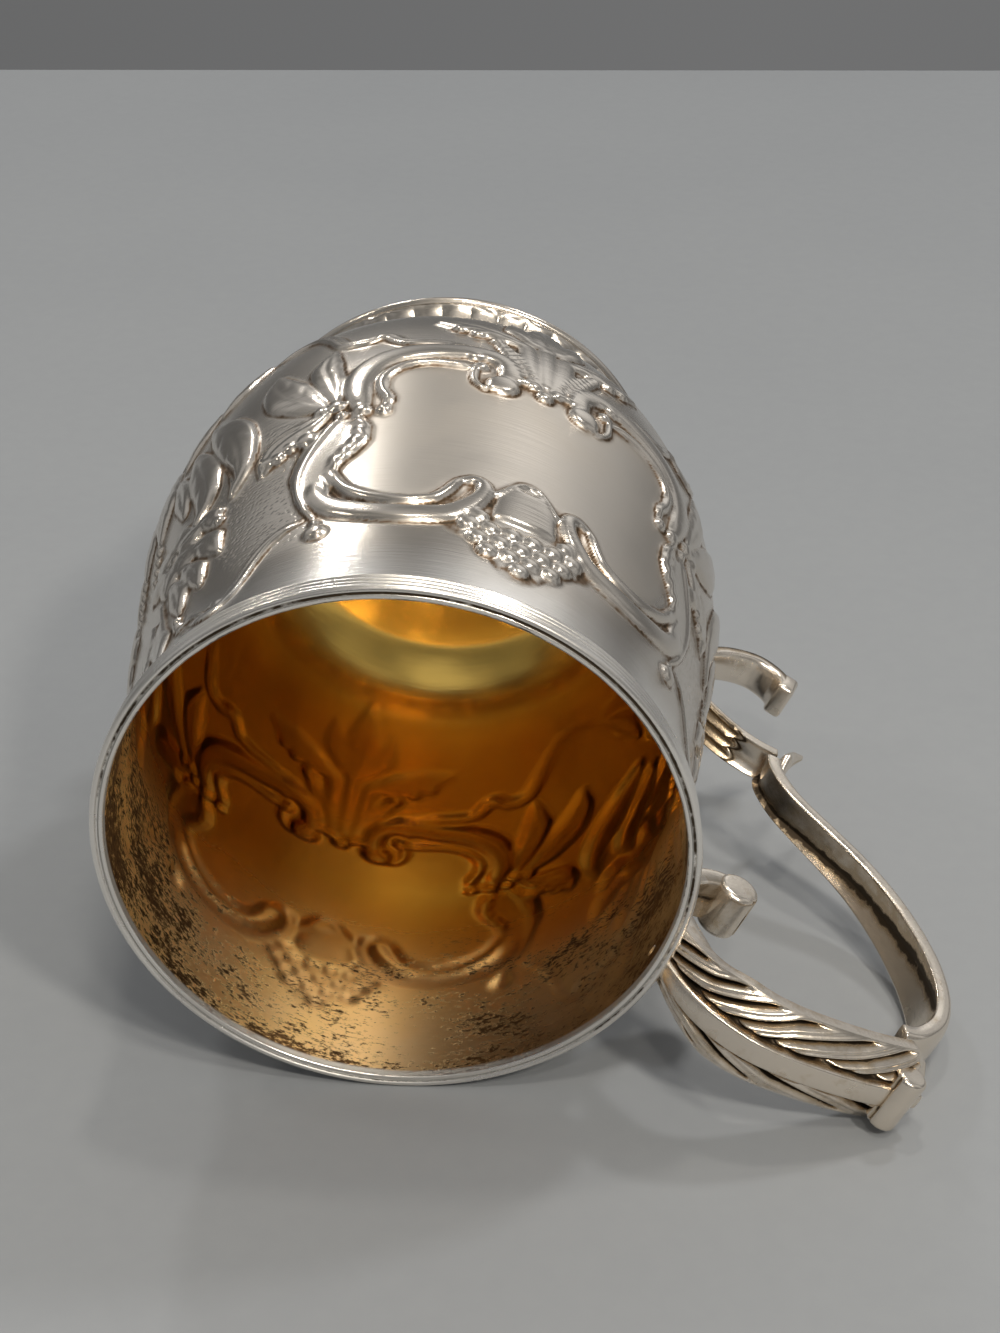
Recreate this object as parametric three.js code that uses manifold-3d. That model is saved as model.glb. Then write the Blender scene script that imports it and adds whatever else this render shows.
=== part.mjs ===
import * as THREE from 'three';
import { mergeVertices } from 'three/addons/utils/BufferGeometryUtils.js';
import Module from 'manifold-3d';

const wasm = await Module();
wasm.setup();
const { lerp } = THREE.MathUtils;

// Driving dimensions of the cup, in millimetres, heights from the table
const height = 100;
const rimRadius = 38;
const sheet = 0.7;
const rimStandOff = 1.1;
const waistStandOff = 1.4;
const bellySwell = 2.4;
const hipRadius = 33.8;
const seatRadius = 25;
const seatHeight = 8.5;
const wallRadiusUnderRim = rimRadius - rimStandOff;
const waistRadius = rimRadius - waistStandOff;
const bellyRadius = rimRadius + bellySwell;
const waistHeight = 0.84 * height;
const bellyHeight = 0.44 * height;
const hipHeight = 0.14 * height;

// Chased ornament on the wall, drawn for a half of one side and repeated four times
const frontReserve = 93;
const backReserve = -84;
const ornamentLift = 1.0;
const innerShare = 0.5;
const handleClearAngle = 9;
const ornamentLow = 0.15 * height;
const ornamentHigh = 0.93 * height;

// Each line of ornament is half as broad as given and runs through points of [degrees, height],
// both the breadth and the heights as shares of the cup's height
const ornament = [
  { breadth: 0.028, path: [[101, 0.475], [100.5, 0.42], [108, 0.395], [120, 0.41]] },
  { breadth: 0.028, path: [[120, 0.41], [127.5, 0.46], [127.5, 0.56]] },
  { breadth: 0.036, path: [[131, 0.57], [134.4, 0.65], [134.8, 0.72], [131, 0.775]] },
  { breadth: 0.026, path: [[131, 0.775], [120, 0.80], [108.5, 0.795], [102, 0.73]] },
  { breadth: 0.044, path: [[93, 0.71], [93, 0.86]] },
  { breadth: 0.034, path: [[93, 0.81], [105, 0.81]] },
  { breadth: 0.036, path: [[93, 0.19], [93, 0.45]] },
  { breadth: 0.026, path: [[93, 0.32], [104, 0.30], [115, 0.27]] },
  { breadth: 0.022, path: [[107, 0.37], [121, 0.365], [134, 0.34]] },
  { breadth: 0.022, path: [[134, 0.34], [142, 0.25], [155, 0.25], [164, 0.33]] },
  { breadth: 0.032, path: [[134, 0.54], [143.4, 0.47], [147.6, 0.38]] },
  { breadth: 0.030, path: [[134.5, 0.555], [142, 0.585], [147, 0.64]] },
  { breadth: 0.020, path: [[136.5, 0.79], [144, 0.82], [149, 0.90], [158, 0.92]] },
  { breadth: 0.034, path: [[163.5, 0.41], [155.4, 0.505], [152.8, 0.60], [154.4, 0.645]] },
  { breadth: 0.034, path: [[167.5, 0.45], [162.6, 0.565], [164.6, 0.64]] },
  { breadth: 0.062, path: [[170, 0.684], [171.5, 0.684]] },
  { breadth: 0.026, path: [[163, 0.71], [156, 0.765]] },
  { breadth: 0.026, path: [[167, 0.75], [162, 0.81]] },
  { breadth: 0.026, path: [[173, 0.80], [168, 0.92]] },
  { breadth: 0.036, path: [[180, 0.23], [180, 0.55]] },
];

// Driving dimensions of the rim wire and the foot
const rimWireHeight = 3.6;
const reedCount = 3;
const reedDepth = 0.28;
const beadShare = 1.3;
const beadEdge = 0.25;
const footRadius = 31;
const footSheet = 1.0;
const footLip = 1.6 * footSheet;
const footNeckShare = 0.72;
const footSpreadShare = 0.42;
const footBorderShare = 0.55;
const footNeckRadius = seatRadius + 0.6;
const footLedge = 6;
const footLobes = 16;
const footLobeDepth = 0.35;
const footWireRadius = footRadius + 0.7;
const footWireHeight = 1.6;
const footWireWidth = 2.6;

// Driving dimensions of the handle
const seatGap = 0.3;
const bandWidth = 6.2;
const bandThickness = 2.9;
const bendWidth = 8.2;
const grooveDepth = 0.55;
const handleReach = 42.15;
const armTopReach = 16;
const armRise = 3.1;
const armTipReach = handleReach - 7.75;
const armTipDrop = 0.8;
const upperSeatBelowRim = 13;
const curlBelowRim = 20;
const curlReach = 13;
const curlThickness = 4.4;
const curlLift = 1.2;
const curlFlare = 1;
const lowerSeatHeight = 29;
const lowerThickness = 2.4;
const lowerWidth = 5.6;
const jointReach = 17.4;
const jointHeight = 42.1;
const tailReach = 20.8;
const tailHeight = 17;
const tailBlockLength = 2.8;
const tailBlockHeight = 4.6;
const tailBlockTilt = -0.3;
const leafWidth = 13;
const leafThickness = 3.6;
const leafRib = 0.55;
const leafRibBreadth = 0.2;
const leafCrownFall = 0.5;
const leafDroop = 1.1;
const leafDroopFrom = 0.55;
const leafRootShare = 0.66;
const leafletCount = 6;
const leafletSlant = 2.2;
const leafletDepth = 0.75;
const rollRadius = 2.1;
const rollWidth = 8.6;
const rollRounding = 0.8;
const rollRise = 6.2;
const budLength = 7.5;
const budWidth = 5;
const budThickness = 2.4;
const budTipOut = 4.6;

// Facets
const turns = 56;
const bodyTurns = 84;
const outerSteps = 38;
const innerSteps = 20;
const bandSteps = 32;
const upperSteps = 36;
const leafSteps = 28;
const leafColumns = 16;
const rollFacets = 16;
const budSteps = 9;
const arcSteps = 4;

const silver = { color: 0xcfccc6, roughness: 0.22, metalness: 1 };
const handleSilver = { color: 0xc9c2b6, roughness: 0.26, metalness: 1 };

// Solids and geometries

function toSolid(geometry) {
  const bare = geometry.clone();
  bare.deleteAttribute('normal');
  bare.deleteAttribute('uv');
  const merged = mergeVertices(bare, 1e-4);
  const vertProperties = new Float32Array(merged.attributes.position.array);
  const triVerts = new Uint32Array(merged.index.array);
  return new wasm.Manifold(new wasm.Mesh({ numProp: 3, vertProperties, triVerts }));
}

function toGeometry(solid) {
  const mesh = solid.getMesh();
  const geometry = new THREE.BufferGeometry();
  geometry.setAttribute('position', new THREE.BufferAttribute(mesh.vertProperties, 3));
  geometry.setIndex(new THREE.BufferAttribute(mesh.triVerts, 1));
  geometry.computeVertexNormals();
  return geometry;
}

function piece(name, geometry, look) {
  const mesh = new THREE.Mesh(geometry, new THREE.MeshStandardMaterial(look));
  mesh.name = name;
  return mesh;
}

// A closed profile of (radius, height) points turned about the vertical axis

function revolve(profile, swell = () => 0) {
  const ring = profile.length;
  const positions = [];
  const indices = [];
  for (let i = 0; i < turns; i += 1) {
    const angle = (2 * Math.PI * i) / turns;
    for (const point of profile) {
      const radius = point.x + swell(angle, point);
      positions.push(radius * Math.cos(angle), radius * Math.sin(angle), point.y);
    }
  }
  for (let i = 0; i < turns; i += 1) {
    const next = (i + 1) % turns;
    for (let j = 0; j < ring; j += 1) {
      const up = (j + 1) % ring;
      const a = i * ring + j;
      const b = next * ring + j;
      const c = next * ring + up;
      const d = i * ring + up;
      indices.push(a, b, c, a, c, d);
    }
  }
  return closedGeometry(positions, indices);
}

function closedGeometry(positions, indices) {
  const geometry = new THREE.BufferGeometry();
  geometry.setAttribute('position', new THREE.Float32BufferAttribute(positions, 3));
  geometry.setIndex(indices);
  geometry.computeVertexNormals();
  return geometry;
}

// The wall of the cup, from its seat on the foot to the mouth

const wallCurve = new THREE.SplineCurve([
  new THREE.Vector2(seatRadius, seatHeight),
  new THREE.Vector2(hipRadius, hipHeight),
  new THREE.Vector2(lerp(hipRadius, bellyRadius, 0.72), lerp(hipHeight, bellyHeight, 0.4)),
  new THREE.Vector2(bellyRadius, bellyHeight),
  new THREE.Vector2(lerp(bellyRadius, waistRadius, 0.55), lerp(bellyHeight, waistHeight, 0.55)),
  new THREE.Vector2(waistRadius, waistHeight),
  new THREE.Vector2(wallRadiusUnderRim, height),
]);

function wallRadius(z) {
  const points = wallCurve.getPoints(120);
  const i = points.findIndex((point, k) => k > 0 && point.y >= z);
  const share = (z - points[i - 1].y) / (points[i].y - points[i - 1].y);
  return lerp(points[i - 1].x, points[i].x, share);
}

function segmentDistance(x, z, a, b) {
  const span = [b[0] - a[0], b[1] - a[1]];
  const share = ((x - a[0]) * span[0] + (z - a[1]) * span[1]) / (span[0] ** 2 + span[1] ** 2);
  const t = Math.min(1, Math.max(0, share));
  return Math.hypot(x - a[0] - t * span[0], z - a[1] - t * span[1]);
}

function lineLift(line, degrees, z) {
  const perDegree = (bellyRadius * Math.PI) / 180;
  const points = line.path.map(([turn, up]) => [turn * perDegree, up * height]);
  let nearest = Infinity;
  for (let i = 1; i < points.length; i += 1) {
    nearest = Math.min(nearest, segmentDistance(degrees * perDegree, z, points[i - 1], points[i]));
  }
  const share = nearest / (line.breadth * height);
  return share < 1 ? Math.sqrt(1 - share * share) : 0;
}

function ornamentAt(angle, z) {
  const degrees = THREE.MathUtils.radToDeg(angle);
  const nearFront = [degrees, 2 * frontReserve - degrees];
  const nearBack = [degrees + frontReserve - backReserve, frontReserve + backReserve - degrees];
  let lift = 0;
  for (const image of [...nearFront, ...nearBack]) {
    const turn = THREE.MathUtils.euclideanModulo(image, 360);
    for (const line of ornament) lift = Math.max(lift, lineLift(line, turn, z));
  }
  const fromHandle = Math.abs(THREE.MathUtils.euclideanModulo(degrees + 180, 360) - 180);
  const clear = THREE.MathUtils.smoothstep(fromHandle, handleClearAngle, 2 * handleClearAngle);
  return z > ornamentLow && z < ornamentHigh ? ornamentLift * lift * clear : 0;
}

function makeBody() {
  const outer = wallCurve.getSpacedPoints(outerSteps);
  const inner = [];
  for (let i = 0; i <= innerSteps; i += 1) {
    const t = i / innerSteps;
    const point = wallCurve.getPointAt(t);
    const along = wallCurve.getTangentAt(t);
    inner.push(new THREE.Vector2(point.x - sheet * along.y, point.y + sheet * along.x));
  }
  inner[innerSteps].y = height;
  inner[0].set(seatRadius - sheet, seatHeight + sheet);
  const points = [new THREE.Vector2(0, seatHeight), ...outer];
  points.push(...inner.reverse(), new THREE.Vector2(0, seatHeight + sheet));
  const lathe = new THREE.LatheGeometry(points, bodyTurns);
  lathe.rotateX(Math.PI / 2);
  const position = lathe.attributes.position;
  for (let i = 0; i < position.count; i += 1) {
    const x = position.getX(i);
    const y = position.getY(i);
    const radius = Math.hypot(x, y);
    const share = i % points.length <= outer.length ? 1 : innerShare;
    const grown = radius + share * ornamentAt(Math.atan2(y, x), position.getZ(i));
    if (radius > seatRadius) position.setXY(i, (x * grown) / radius, (y * grown) / radius);
  }
  return toGeometry(toSolid(lathe));
}

// The reeded moulding round the mouth: a bead at the lip over fine reeds

function makeRimWire() {
  const back = wallRadiusUnderRim + seatGap;
  const top = height;
  const bottom = height - rimWireHeight;
  const bead = (rimWireHeight / (reedCount + 1)) * beadShare;
  const reed = (rimWireHeight - bead) / reedCount;
  const reedRadius = rimRadius - reedDepth;
  const profile = [new THREE.Vector2(back, bottom)];
  for (let i = 0; i < reedCount; i += 1) {
    const low = bottom + i * reed;
    profile.push(new THREE.Vector2(reedRadius - reedDepth, low + reed / 8));
    profile.push(new THREE.Vector2(reedRadius, low + reed / 2));
    profile.push(new THREE.Vector2(reedRadius - reedDepth, low + (reed * 7) / 8));
  }
  profile.push(new THREE.Vector2(rimRadius, top - bead + beadEdge));
  profile.push(new THREE.Vector2(rimRadius, top - beadEdge));
  profile.push(new THREE.Vector2(rimRadius - beadEdge, top));
  profile.push(new THREE.Vector2(back, top));
  return revolve(profile);
}

// The spreading foot, hollow underneath, with a lobed border

const footTop = seatHeight - seatGap;

function makeFoot() {
  const outer = new THREE.SplineCurve([
    new THREE.Vector2(footNeckRadius, footTop),
    new THREE.Vector2(footNeckRadius + seatGap, footTop * footNeckShare),
    new THREE.Vector2((footNeckRadius + footRadius) / 2, footTop * footSpreadShare),
    new THREE.Vector2(footRadius, footWireHeight + seatGap),
  ]).getPoints(8);
  const inner = outer.map((point) => new THREE.Vector2(point.x - footLip, point.y));
  inner[0].set(footNeckRadius - footLedge, footTop);
  inner[1].set(footNeckRadius - footLedge, footTop - footSheet);
  inner.reverse();
  const border = footTop * footBorderShare;
  const swell = (angle, point) => {
    const share = Math.max(0, 1 - point.y / border);
    return share * footLobeDepth * Math.cos(footLobes * angle);
  };
  return revolve([...outer, ...inner].reverse(), swell);
}

function makeFootWire() {
  const low = footWireRadius;
  const back = footWireRadius - footWireWidth;
  const round = footWireHeight / 2;
  const profile = [new THREE.Vector2(back, 0), new THREE.Vector2(low - round * 0.6, 0)];
  for (let i = 0; i <= arcSteps; i += 1) {
    const angle = -Math.PI / 3 + (i / arcSteps) * (Math.PI * 5) / 6;
    const x = low - round + round * Math.cos(angle);
    profile.push(new THREE.Vector2(x, round + round * Math.sin(angle)));
  }
  profile.push(new THREE.Vector2(back, footWireHeight));
  return revolve(profile);
}

// A band swept along a plane curve in the handle's own plane

const bandSection = [
  [1, 0.2], [0.8, 0.66], [0.45, 0.93], [0, 1], [-0.45, 0.93], [-0.8, 0.66], [-1, 0.2],
  [-0.96, -0.9], [-0.8, -1], [0, -1 + (2 * grooveDepth) / bandThickness], [0.8, -1], [0.96, -0.9],
];

function curveThrough(stations, point) {
  return new THREE.CatmullRomCurve3(stations.map(point), false, 'centripetal');
}

function pathOf(stations) {
  return curveThrough(stations, (s) => new THREE.Vector3(s.x, 0, s.z));
}

function sweepBand(stations, steps = bandSteps, section = bandSection) {
  const path = pathOf(stations);
  const sizes = curveThrough(stations, (s) => new THREE.Vector3(s.width, s.thick, 0));
  const positions = [];
  const indices = [];
  const count = section.length;
  for (let i = 0; i <= steps; i += 1) {
    const t = i / steps;
    const centre = path.getPoint(t);
    const along = path.getTangent(t);
    const size = sizes.getPoint(t);
    for (const [across, through] of section) {
      const offset = (through * size.y) / 2;
      positions.push(centre.x - along.z * offset, (across * size.x) / 2, centre.z + along.x * offset);
    }
  }
  for (let i = 0; i < steps; i += 1) {
    for (let j = 0; j < count; j += 1) {
      const next = (j + 1) % count;
      const a = i * count + j;
      const b = i * count + next;
      const c = (i + 1) * count + next;
      const d = (i + 1) * count + j;
      indices.push(a, b, c, a, c, d);
    }
  }
  const flat = section.map(([across, through]) => new THREE.Vector2(across, through));
  const last = steps * count;
  for (const [a, b, c] of THREE.ShapeUtils.triangulateShape(flat, [])) {
    indices.push(a, c, b, last + a, last + b, last + c);
  }
  return closedGeometry(positions, indices);
}

// The room that a band takes, with the seating gap all round it

function pushedOut(end, next) {
  const reach = seatGap / Math.hypot(end.x - next.x, end.z - next.z);
  return { ...end, x: end.x + (end.x - next.x) * reach, z: end.z + (end.z - next.z) * reach };
}

function bandClearance(stations, steps = bandSteps) {
  const grown = stations.map((s) => ({
    ...s,
    width: s.width + 2 * seatGap,
    thick: s.thick + 2 * seatGap,
  }));
  const last = grown.length - 1;
  grown[0] = pushedOut(grown[0], grown[1]);
  grown[last] = pushedOut(grown[last], grown[last - 1]);
  return toSolid(sweepBand(grown, steps));
}

// A squared terminal with rounded edges, lying across the handle

function terminal(x, z, length, tall, width, tilt) {
  const round = Math.min(length, tall) * 0.28;
  const half = [length / 2, tall / 2];
  const shape = new THREE.Shape();
  shape.moveTo(-half[0] + round, -half[1]);
  shape.lineTo(half[0] - round, -half[1]);
  shape.quadraticCurveTo(half[0], -half[1], half[0], -half[1] + round);
  shape.lineTo(half[0], half[1] - round);
  shape.quadraticCurveTo(half[0], half[1], half[0] - round, half[1]);
  shape.lineTo(-half[0] + round, half[1]);
  shape.quadraticCurveTo(-half[0], half[1], -half[0], half[1] - round);
  shape.lineTo(-half[0], -half[1] + round);
  shape.quadraticCurveTo(-half[0], -half[1], -half[0] + round, -half[1]);
  const bevel = Math.min(length, tall) * 0.1;
  const block = new THREE.ExtrudeGeometry(shape, {
    depth: width - 2 * bevel,
    bevelSize: bevel,
    bevelThickness: bevel,
    bevelOffset: -bevel,
    bevelSegments: 1,
    curveSegments: 3,
  });
  block.translate(0, 0, -width / 2 + bevel);
  block.rotateX(Math.PI / 2);
  block.rotateY(tilt);
  block.translate(x, 0, z);
  return block;
}

// A rolled end with rounded rims, lying across the handle

function rolledEnd(x, z) {
  const half = rollWidth / 2;
  const points = [
    new THREE.Vector2(0, -half),
    new THREE.Vector2(rollRadius - rollRounding, -half),
    new THREE.Vector2(rollRadius, rollRounding - half),
    new THREE.Vector2(rollRadius, half - rollRounding),
    new THREE.Vector2(rollRadius - rollRounding, half),
    new THREE.Vector2(0, half),
  ];
  const roll = new THREE.LatheGeometry(points, rollFacets);
  roll.translate(x, 0, z);
  return roll;
}

// The room that the mouth and its rim wire take, cut from what is fitted against them

function mouthClearance() {
  const cylinder = new THREE.CylinderGeometry(rimRadius + seatGap, rimRadius + seatGap, height, turns);
  cylinder.rotateX(Math.PI / 2);
  cylinder.translate(0, 0, height);
  return toSolid(cylinder);
}

// Upper scroll: the curl, the back on the wall and the arm that goes out over the rim

const upperSeatZ = height - upperSeatBelowRim;
const curlZ = height - curlBelowRim;
const upperSeatX = wallRadius(upperSeatZ) + 2 * seatGap + bandThickness / 2;
const armTipX = rimRadius + armTipReach;
const armTipZ = height - armTipDrop;
const armTopX = rimRadius + armTopReach;
const armTopZ = height + armRise;

// Lines of the handle's parts, each point as shares of the way between two named places
const armRiseLine = [[0.14, 0.42], [0.42, 0.82], [0.7, 0.965], [1, 1]];
const armFallLine = [[0.5, 0.26], [0.83, 0.66], [1, 1]];
const curlLine = [[1, 1, 1], [0.68, -0.25, 1], [0.3, 0.67, 0.7]];
const backLine = [-0.14, 0.12];

function between(line, from, to, size) {
  return line.map(([x, z]) => ({ x: lerp(from.x, to.x, x), z: lerp(from.z, to.z, z), ...size }));
}

function armStations() {
  const size = { width: bandWidth, thick: bandThickness };
  const seat = { x: upperSeatX, z: upperSeatZ };
  const top = { x: armTopX, z: armTopZ };
  const tip = { x: armTipX, z: armTipZ };
  return [...between(armRiseLine, seat, top, size), ...between(armFallLine, top, tip, size)];
}

function upperStations() {
  const curl = curlLine.map(([x, z, thicker]) => ({
    x: rimRadius + curlReach * x,
    z: curlZ + curlLift * z,
    width: bandWidth + curlFlare * x,
    thick: lerp(bandThickness, curlThickness, thicker),
  }));
  const back = backLine.map((z) => ({
    x: upperSeatX,
    z: lerp(upperSeatZ, armTopZ, z),
    width: bandWidth,
    thick: bandThickness,
  }));
  return [...curl, ...back, ...armStations()];
}

function makeUpperScroll() {
  return sweepBand(upperStations(), upperSteps);
}

// Main scroll: the band that the hand holds, from under the arm's tip down to the joint

const jointX = rimRadius + jointReach;
const reachX = rimRadius + handleReach - bandThickness / 2;
const mainTopZ = armTipZ - bandThickness - seatGap;

// From under the arm's tip down to the joint: shares of the reach, the height and the breadth
const mainLine = [
  [0.672, 1.004, 0.8], [0.782, 0.992, 0.9], [0.873, 0.955, 1], [0.956, 0.896, 1],
  [1, 0.802, 1], [0.978, 0.683, 0.9], [0.895, 0.564, 0.7], [0.769, 0.449, 0.45],
  [0.585, 0.336, 0.1], [0.406, 0.26, -0.1], [0.214, 0.185, -0.3], [0.114, 0.14, -0.35],
  [0.052, 0.098, -0.4], [0.004, 0.047, -0.4], [0, 0, -0.4],
];

function mainStations() {
  return mainLine.map(([x, z, broad]) => ({
    x: lerp(jointX, reachX, x),
    z: lerp(jointHeight, mainTopZ, z),
    width: lerp(bandWidth, bendWidth, broad),
    thick: bandThickness,
  }));
}

function makeMainScroll() {
  const scroll = toSolid(sweepBand(mainStations()));
  return toGeometry(scroll.subtract(bandClearance(upperStations(), upperSteps)));
}

// Lower scroll: from the joint to its seat on the belly, then the tail that curls outward

const lowerSeatX = wallRadius(lowerSeatHeight) + seatGap + lowerThickness / 2;
const tailX = rimRadius + tailReach;

const lowerTopZ = jointHeight - seatGap - lowerThickness / 2;
const neckLine = [[1.04, 1.02], [0.84, 1], [0.62, 0.91], [0.37, 0.71], [0.14, 0.42], [0.01, 0.12]];
const tailLine = [
  [0.02, 0.2], [0.12, 0.5], [0.28, 0.76], [0.5, 0.98], [0.74, 1.07], [0.92, 0.94], [0.98, 0.74],
];

function lowerStations() {
  const size = { width: lowerWidth, thick: lowerThickness };
  const seat = { x: lowerSeatX, z: lowerSeatHeight };
  const joint = { x: jointX, z: lowerTopZ };
  const tail = { x: tailX, z: tailHeight };
  return [...between(neckLine, seat, joint, size), ...between(tailLine, seat, tail, size)];
}

function makeLowerScroll() {
  const scroll = toSolid(sweepBand(lowerStations(), bandSteps + arcSteps));
  const blockZ = tailHeight + tailBlockHeight / 2;
  const block = terminal(tailX, blockZ, tailBlockLength, tailBlockHeight, lowerWidth, tailBlockTilt);
  return toGeometry(scroll.add(toSolid(block)).subtract(bandClearance(mainStations())));
}

// Acanthus leaf: a crowned leaf over the arm with a broad midrib, slanting leaflets and a squared end

function makeLeaf() {
  const stations = armStations();
  const path = pathOf(stations);
  const under = bandThickness / 2 + seatGap;
  const halfWidth = (t) => {
    const root = lerp(leafRootShare, 1, THREE.MathUtils.smoothstep(t, 0, 0.3));
    return lerp(root * leafWidth, rollWidth, THREE.MathUtils.smoothstep(t, 0.86, 1)) / 2;
  };
  const crown = (t, v) => {
    const rib = leafRib * Math.exp(-((v / leafRibBreadth) ** 2));
    const slant = leafletCount * t - leafletSlant * Math.abs(v);
    const within = Math.min(1, Math.abs(v) * 3) * Math.min(1, (1 - Math.abs(v)) * 5);
    const groove = (1 - Math.abs(Math.sin(Math.PI * slant))) ** 2;
    return under + leafThickness * (1 - leafCrownFall * v * v) + rib - leafletDepth * groove * within;
  };
  const positions = [];
  const indices = [];
  const columns = leafColumns;
  for (let i = 0; i <= leafSteps; i += 1) {
    const t = i / leafSteps;
    const centre = path.getPoint(t);
    const along = path.getTangent(t);
    for (const side of [1, 0]) {
      for (let j = 0; j <= columns; j += 1) {
        const v = (2 * j) / columns - 1;
        const droop = Math.max(0, Math.abs(v) - leafDroopFrom) * leafDroop;
        const up = side ? crown(t, v) - droop : under - droop;
        positions.push(centre.x - along.z * up, v * halfWidth(t), centre.z + along.x * up);
      }
    }
  }
  const row = 2 * (columns + 1);
  for (let i = 0; i < leafSteps; i += 1) {
    for (let j = 0; j < columns; j += 1) {
      const a = i * row + j;
      const b = a + row;
      indices.push(a, b, b + 1, a, b + 1, a + 1);
      const c = a + columns + 1;
      const d = c + row;
      indices.push(c, d + 1, d, c, c + 1, d + 1);
    }
    for (const [j, flip] of [[0, false], [columns, true]]) {
      const a = i * row + j;
      const b = a + row;
      const c = a + columns + 1;
      const d = c + row;
      if (flip) indices.push(a, b, d, a, d, c);
      else indices.push(a, d, b, a, c, d);
    }
  }
  for (let j = 0; j < columns; j += 1) {
    const a = j;
    const c = j + columns + 1;
    indices.push(a, a + 1, c + 1, a, c + 1, c);
    const last = leafSteps * row;
    indices.push(last + a, last + c + 1, last + a + 1, last + a, last + c, last + c + 1);
  }
  const leaf = toSolid(closedGeometry(positions, indices));
  const roll = toSolid(rolledEnd(armTipX - rollRadius / 2, armTipZ + rollRise));
  const fitted = leaf.add(roll).subtract(mouthClearance());
  const onArm = fitted.subtract(bandClearance(upperStations(), upperSteps));
  return toGeometry(onArm.subtract(bandClearance(mainStations())));
}

// Bud: a small pointed leaf on the outer side of the joint

function makeBud() {
  const x = jointX + bandThickness / 2 + seatGap;
  const section = [
    [1, 0], [0.6, 0.7], [0, 1], [-0.6, 0.7], [-1, 0], [-0.5, -0.5], [0, -0.6], [0.5, -0.5],
  ];
  const shares = [[0, 0.14, 0.45, 0.6], [0.18, -0.3, 1, 1], [0.48, -0.65, 0.7, 0.8], [1, -1, 0.15, 0.3]];
  const stations = shares.map(([out, up, broad, thick]) => ({
    x: x + budTipOut * out,
    z: jointHeight + budLength * up,
    width: budWidth * broad,
    thick: budThickness * thick,
  }));
  const bud = toSolid(sweepBand(stations, budSteps, section));
  return toGeometry(bud.subtract(bandClearance(mainStations())));
}

// The mug

const mug = new THREE.Group();
mug.add(piece('body', makeBody(), silver));
mug.add(piece('rim_wire', makeRimWire(), silver));
mug.add(piece('foot', makeFoot(), silver));
mug.add(piece('foot_wire', makeFootWire(), silver));
mug.add(piece('handle_upper_scroll', makeUpperScroll(), handleSilver));
mug.add(piece('handle_leaf', makeLeaf(), handleSilver));
mug.add(piece('handle_main_scroll', makeMainScroll(), handleSilver));
mug.add(piece('handle_lower_scroll', makeLowerScroll(), handleSilver));
mug.add(piece('handle_bud', makeBud(), handleSilver));

// The origin is at the middle of the footprint, on the table
const footprint = new THREE.Box3().setFromObject(mug);
mug.position.x = -(footprint.min.x + footprint.max.x) / 2;

export default mug;
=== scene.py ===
import math
from functools import cache

import bmesh
import bpy
import numpy as np
from mathutils import Matrix, Vector


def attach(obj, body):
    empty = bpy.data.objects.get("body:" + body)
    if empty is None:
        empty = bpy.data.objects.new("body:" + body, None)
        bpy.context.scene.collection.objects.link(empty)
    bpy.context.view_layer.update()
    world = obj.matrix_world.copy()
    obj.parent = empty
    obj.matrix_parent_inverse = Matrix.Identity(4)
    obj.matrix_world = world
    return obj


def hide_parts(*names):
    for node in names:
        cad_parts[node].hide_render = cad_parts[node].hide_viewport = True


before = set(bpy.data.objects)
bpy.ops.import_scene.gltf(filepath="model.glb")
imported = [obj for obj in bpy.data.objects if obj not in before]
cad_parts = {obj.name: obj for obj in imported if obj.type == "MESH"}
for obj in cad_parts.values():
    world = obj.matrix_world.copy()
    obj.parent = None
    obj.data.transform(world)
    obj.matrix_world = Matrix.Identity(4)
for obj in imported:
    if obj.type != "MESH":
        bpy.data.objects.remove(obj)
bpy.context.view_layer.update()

# Sizes in millimetres, out from the cup's axis and up it from the foot

MM = 0.001
AXIS_X = -19.37111473083496  # where the cup's axis stands in the shared frame
HEIGHT = 100.0
SHEET = 0.7
RIM_RADIUS = 38.0
SEAT_HEIGHT = 8.5
SEAT_RADIUS = 25.0
WALL = [(25.0, 8.5), (33.8, 14.0), (38.552, 26.0), (40.4, 44.0), (38.31, 66.0), (36.6, 84.0)]
WALL += [(36.9, 100.0)]

# The chart that the relief is drawn on: degrees round the cup, millimetres up it

TURNS = 960
DEGREE = TURNS / 360.0
CHART_LOW = 10.0
CHART_STEP = 0.2
CHART_ROWS = 446
CHART_FROM = 60
CHART_TO = 210
MM_PER_DEGREE = math.radians(1) * 39.0
COLUMN = MM_PER_DEGREE / DEGREE
RESERVE_AT = 93
SECOND_RESERVE_AT = -84
RELIEF_SCALE = 0.78
SOFT_LIMIT = 1.3


# Curves

def lengths(curve):
    """The way along a curve to each of its points."""
    return np.concatenate([[0], np.cumsum(np.linalg.norm(np.diff(curve, axis=0), axis=1))])


def evenly(curve, count=0, step=0.0):
    """Points evenly along a curve, so many or so far apart."""
    far = lengths(curve)
    at = np.arange(0, far[-1], step) if step else np.linspace(0, far[-1], count)
    return np.stack([np.interp(at, far, curve[:, k]) for k in range(2)], 1)


def cubic(p, steps):
    """A smooth curve through all the given points but the first and the last."""
    t = np.linspace(0, 1, steps, endpoint=False)[:, None]
    spans = []
    for i in range(1, len(p) - 2):
        a, b, c, d = p[i - 1:i + 3]
        bend = (2 * a - 5 * b + 4 * c - d) * t**2 + (3 * b - a - 3 * c + d) * t**3
        spans.append(0.5 * (2 * b + (c - a) * t + bend))
    return np.vstack([*spans, p[-2]])


def spline(points, count):
    """Points evenly along an open curve through the given ones."""
    p = np.array(points, float)
    return evenly(cubic(np.vstack([2 * p[0] - p[1], p, 2 * p[-1] - p[-2]]), 24), count)


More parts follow.
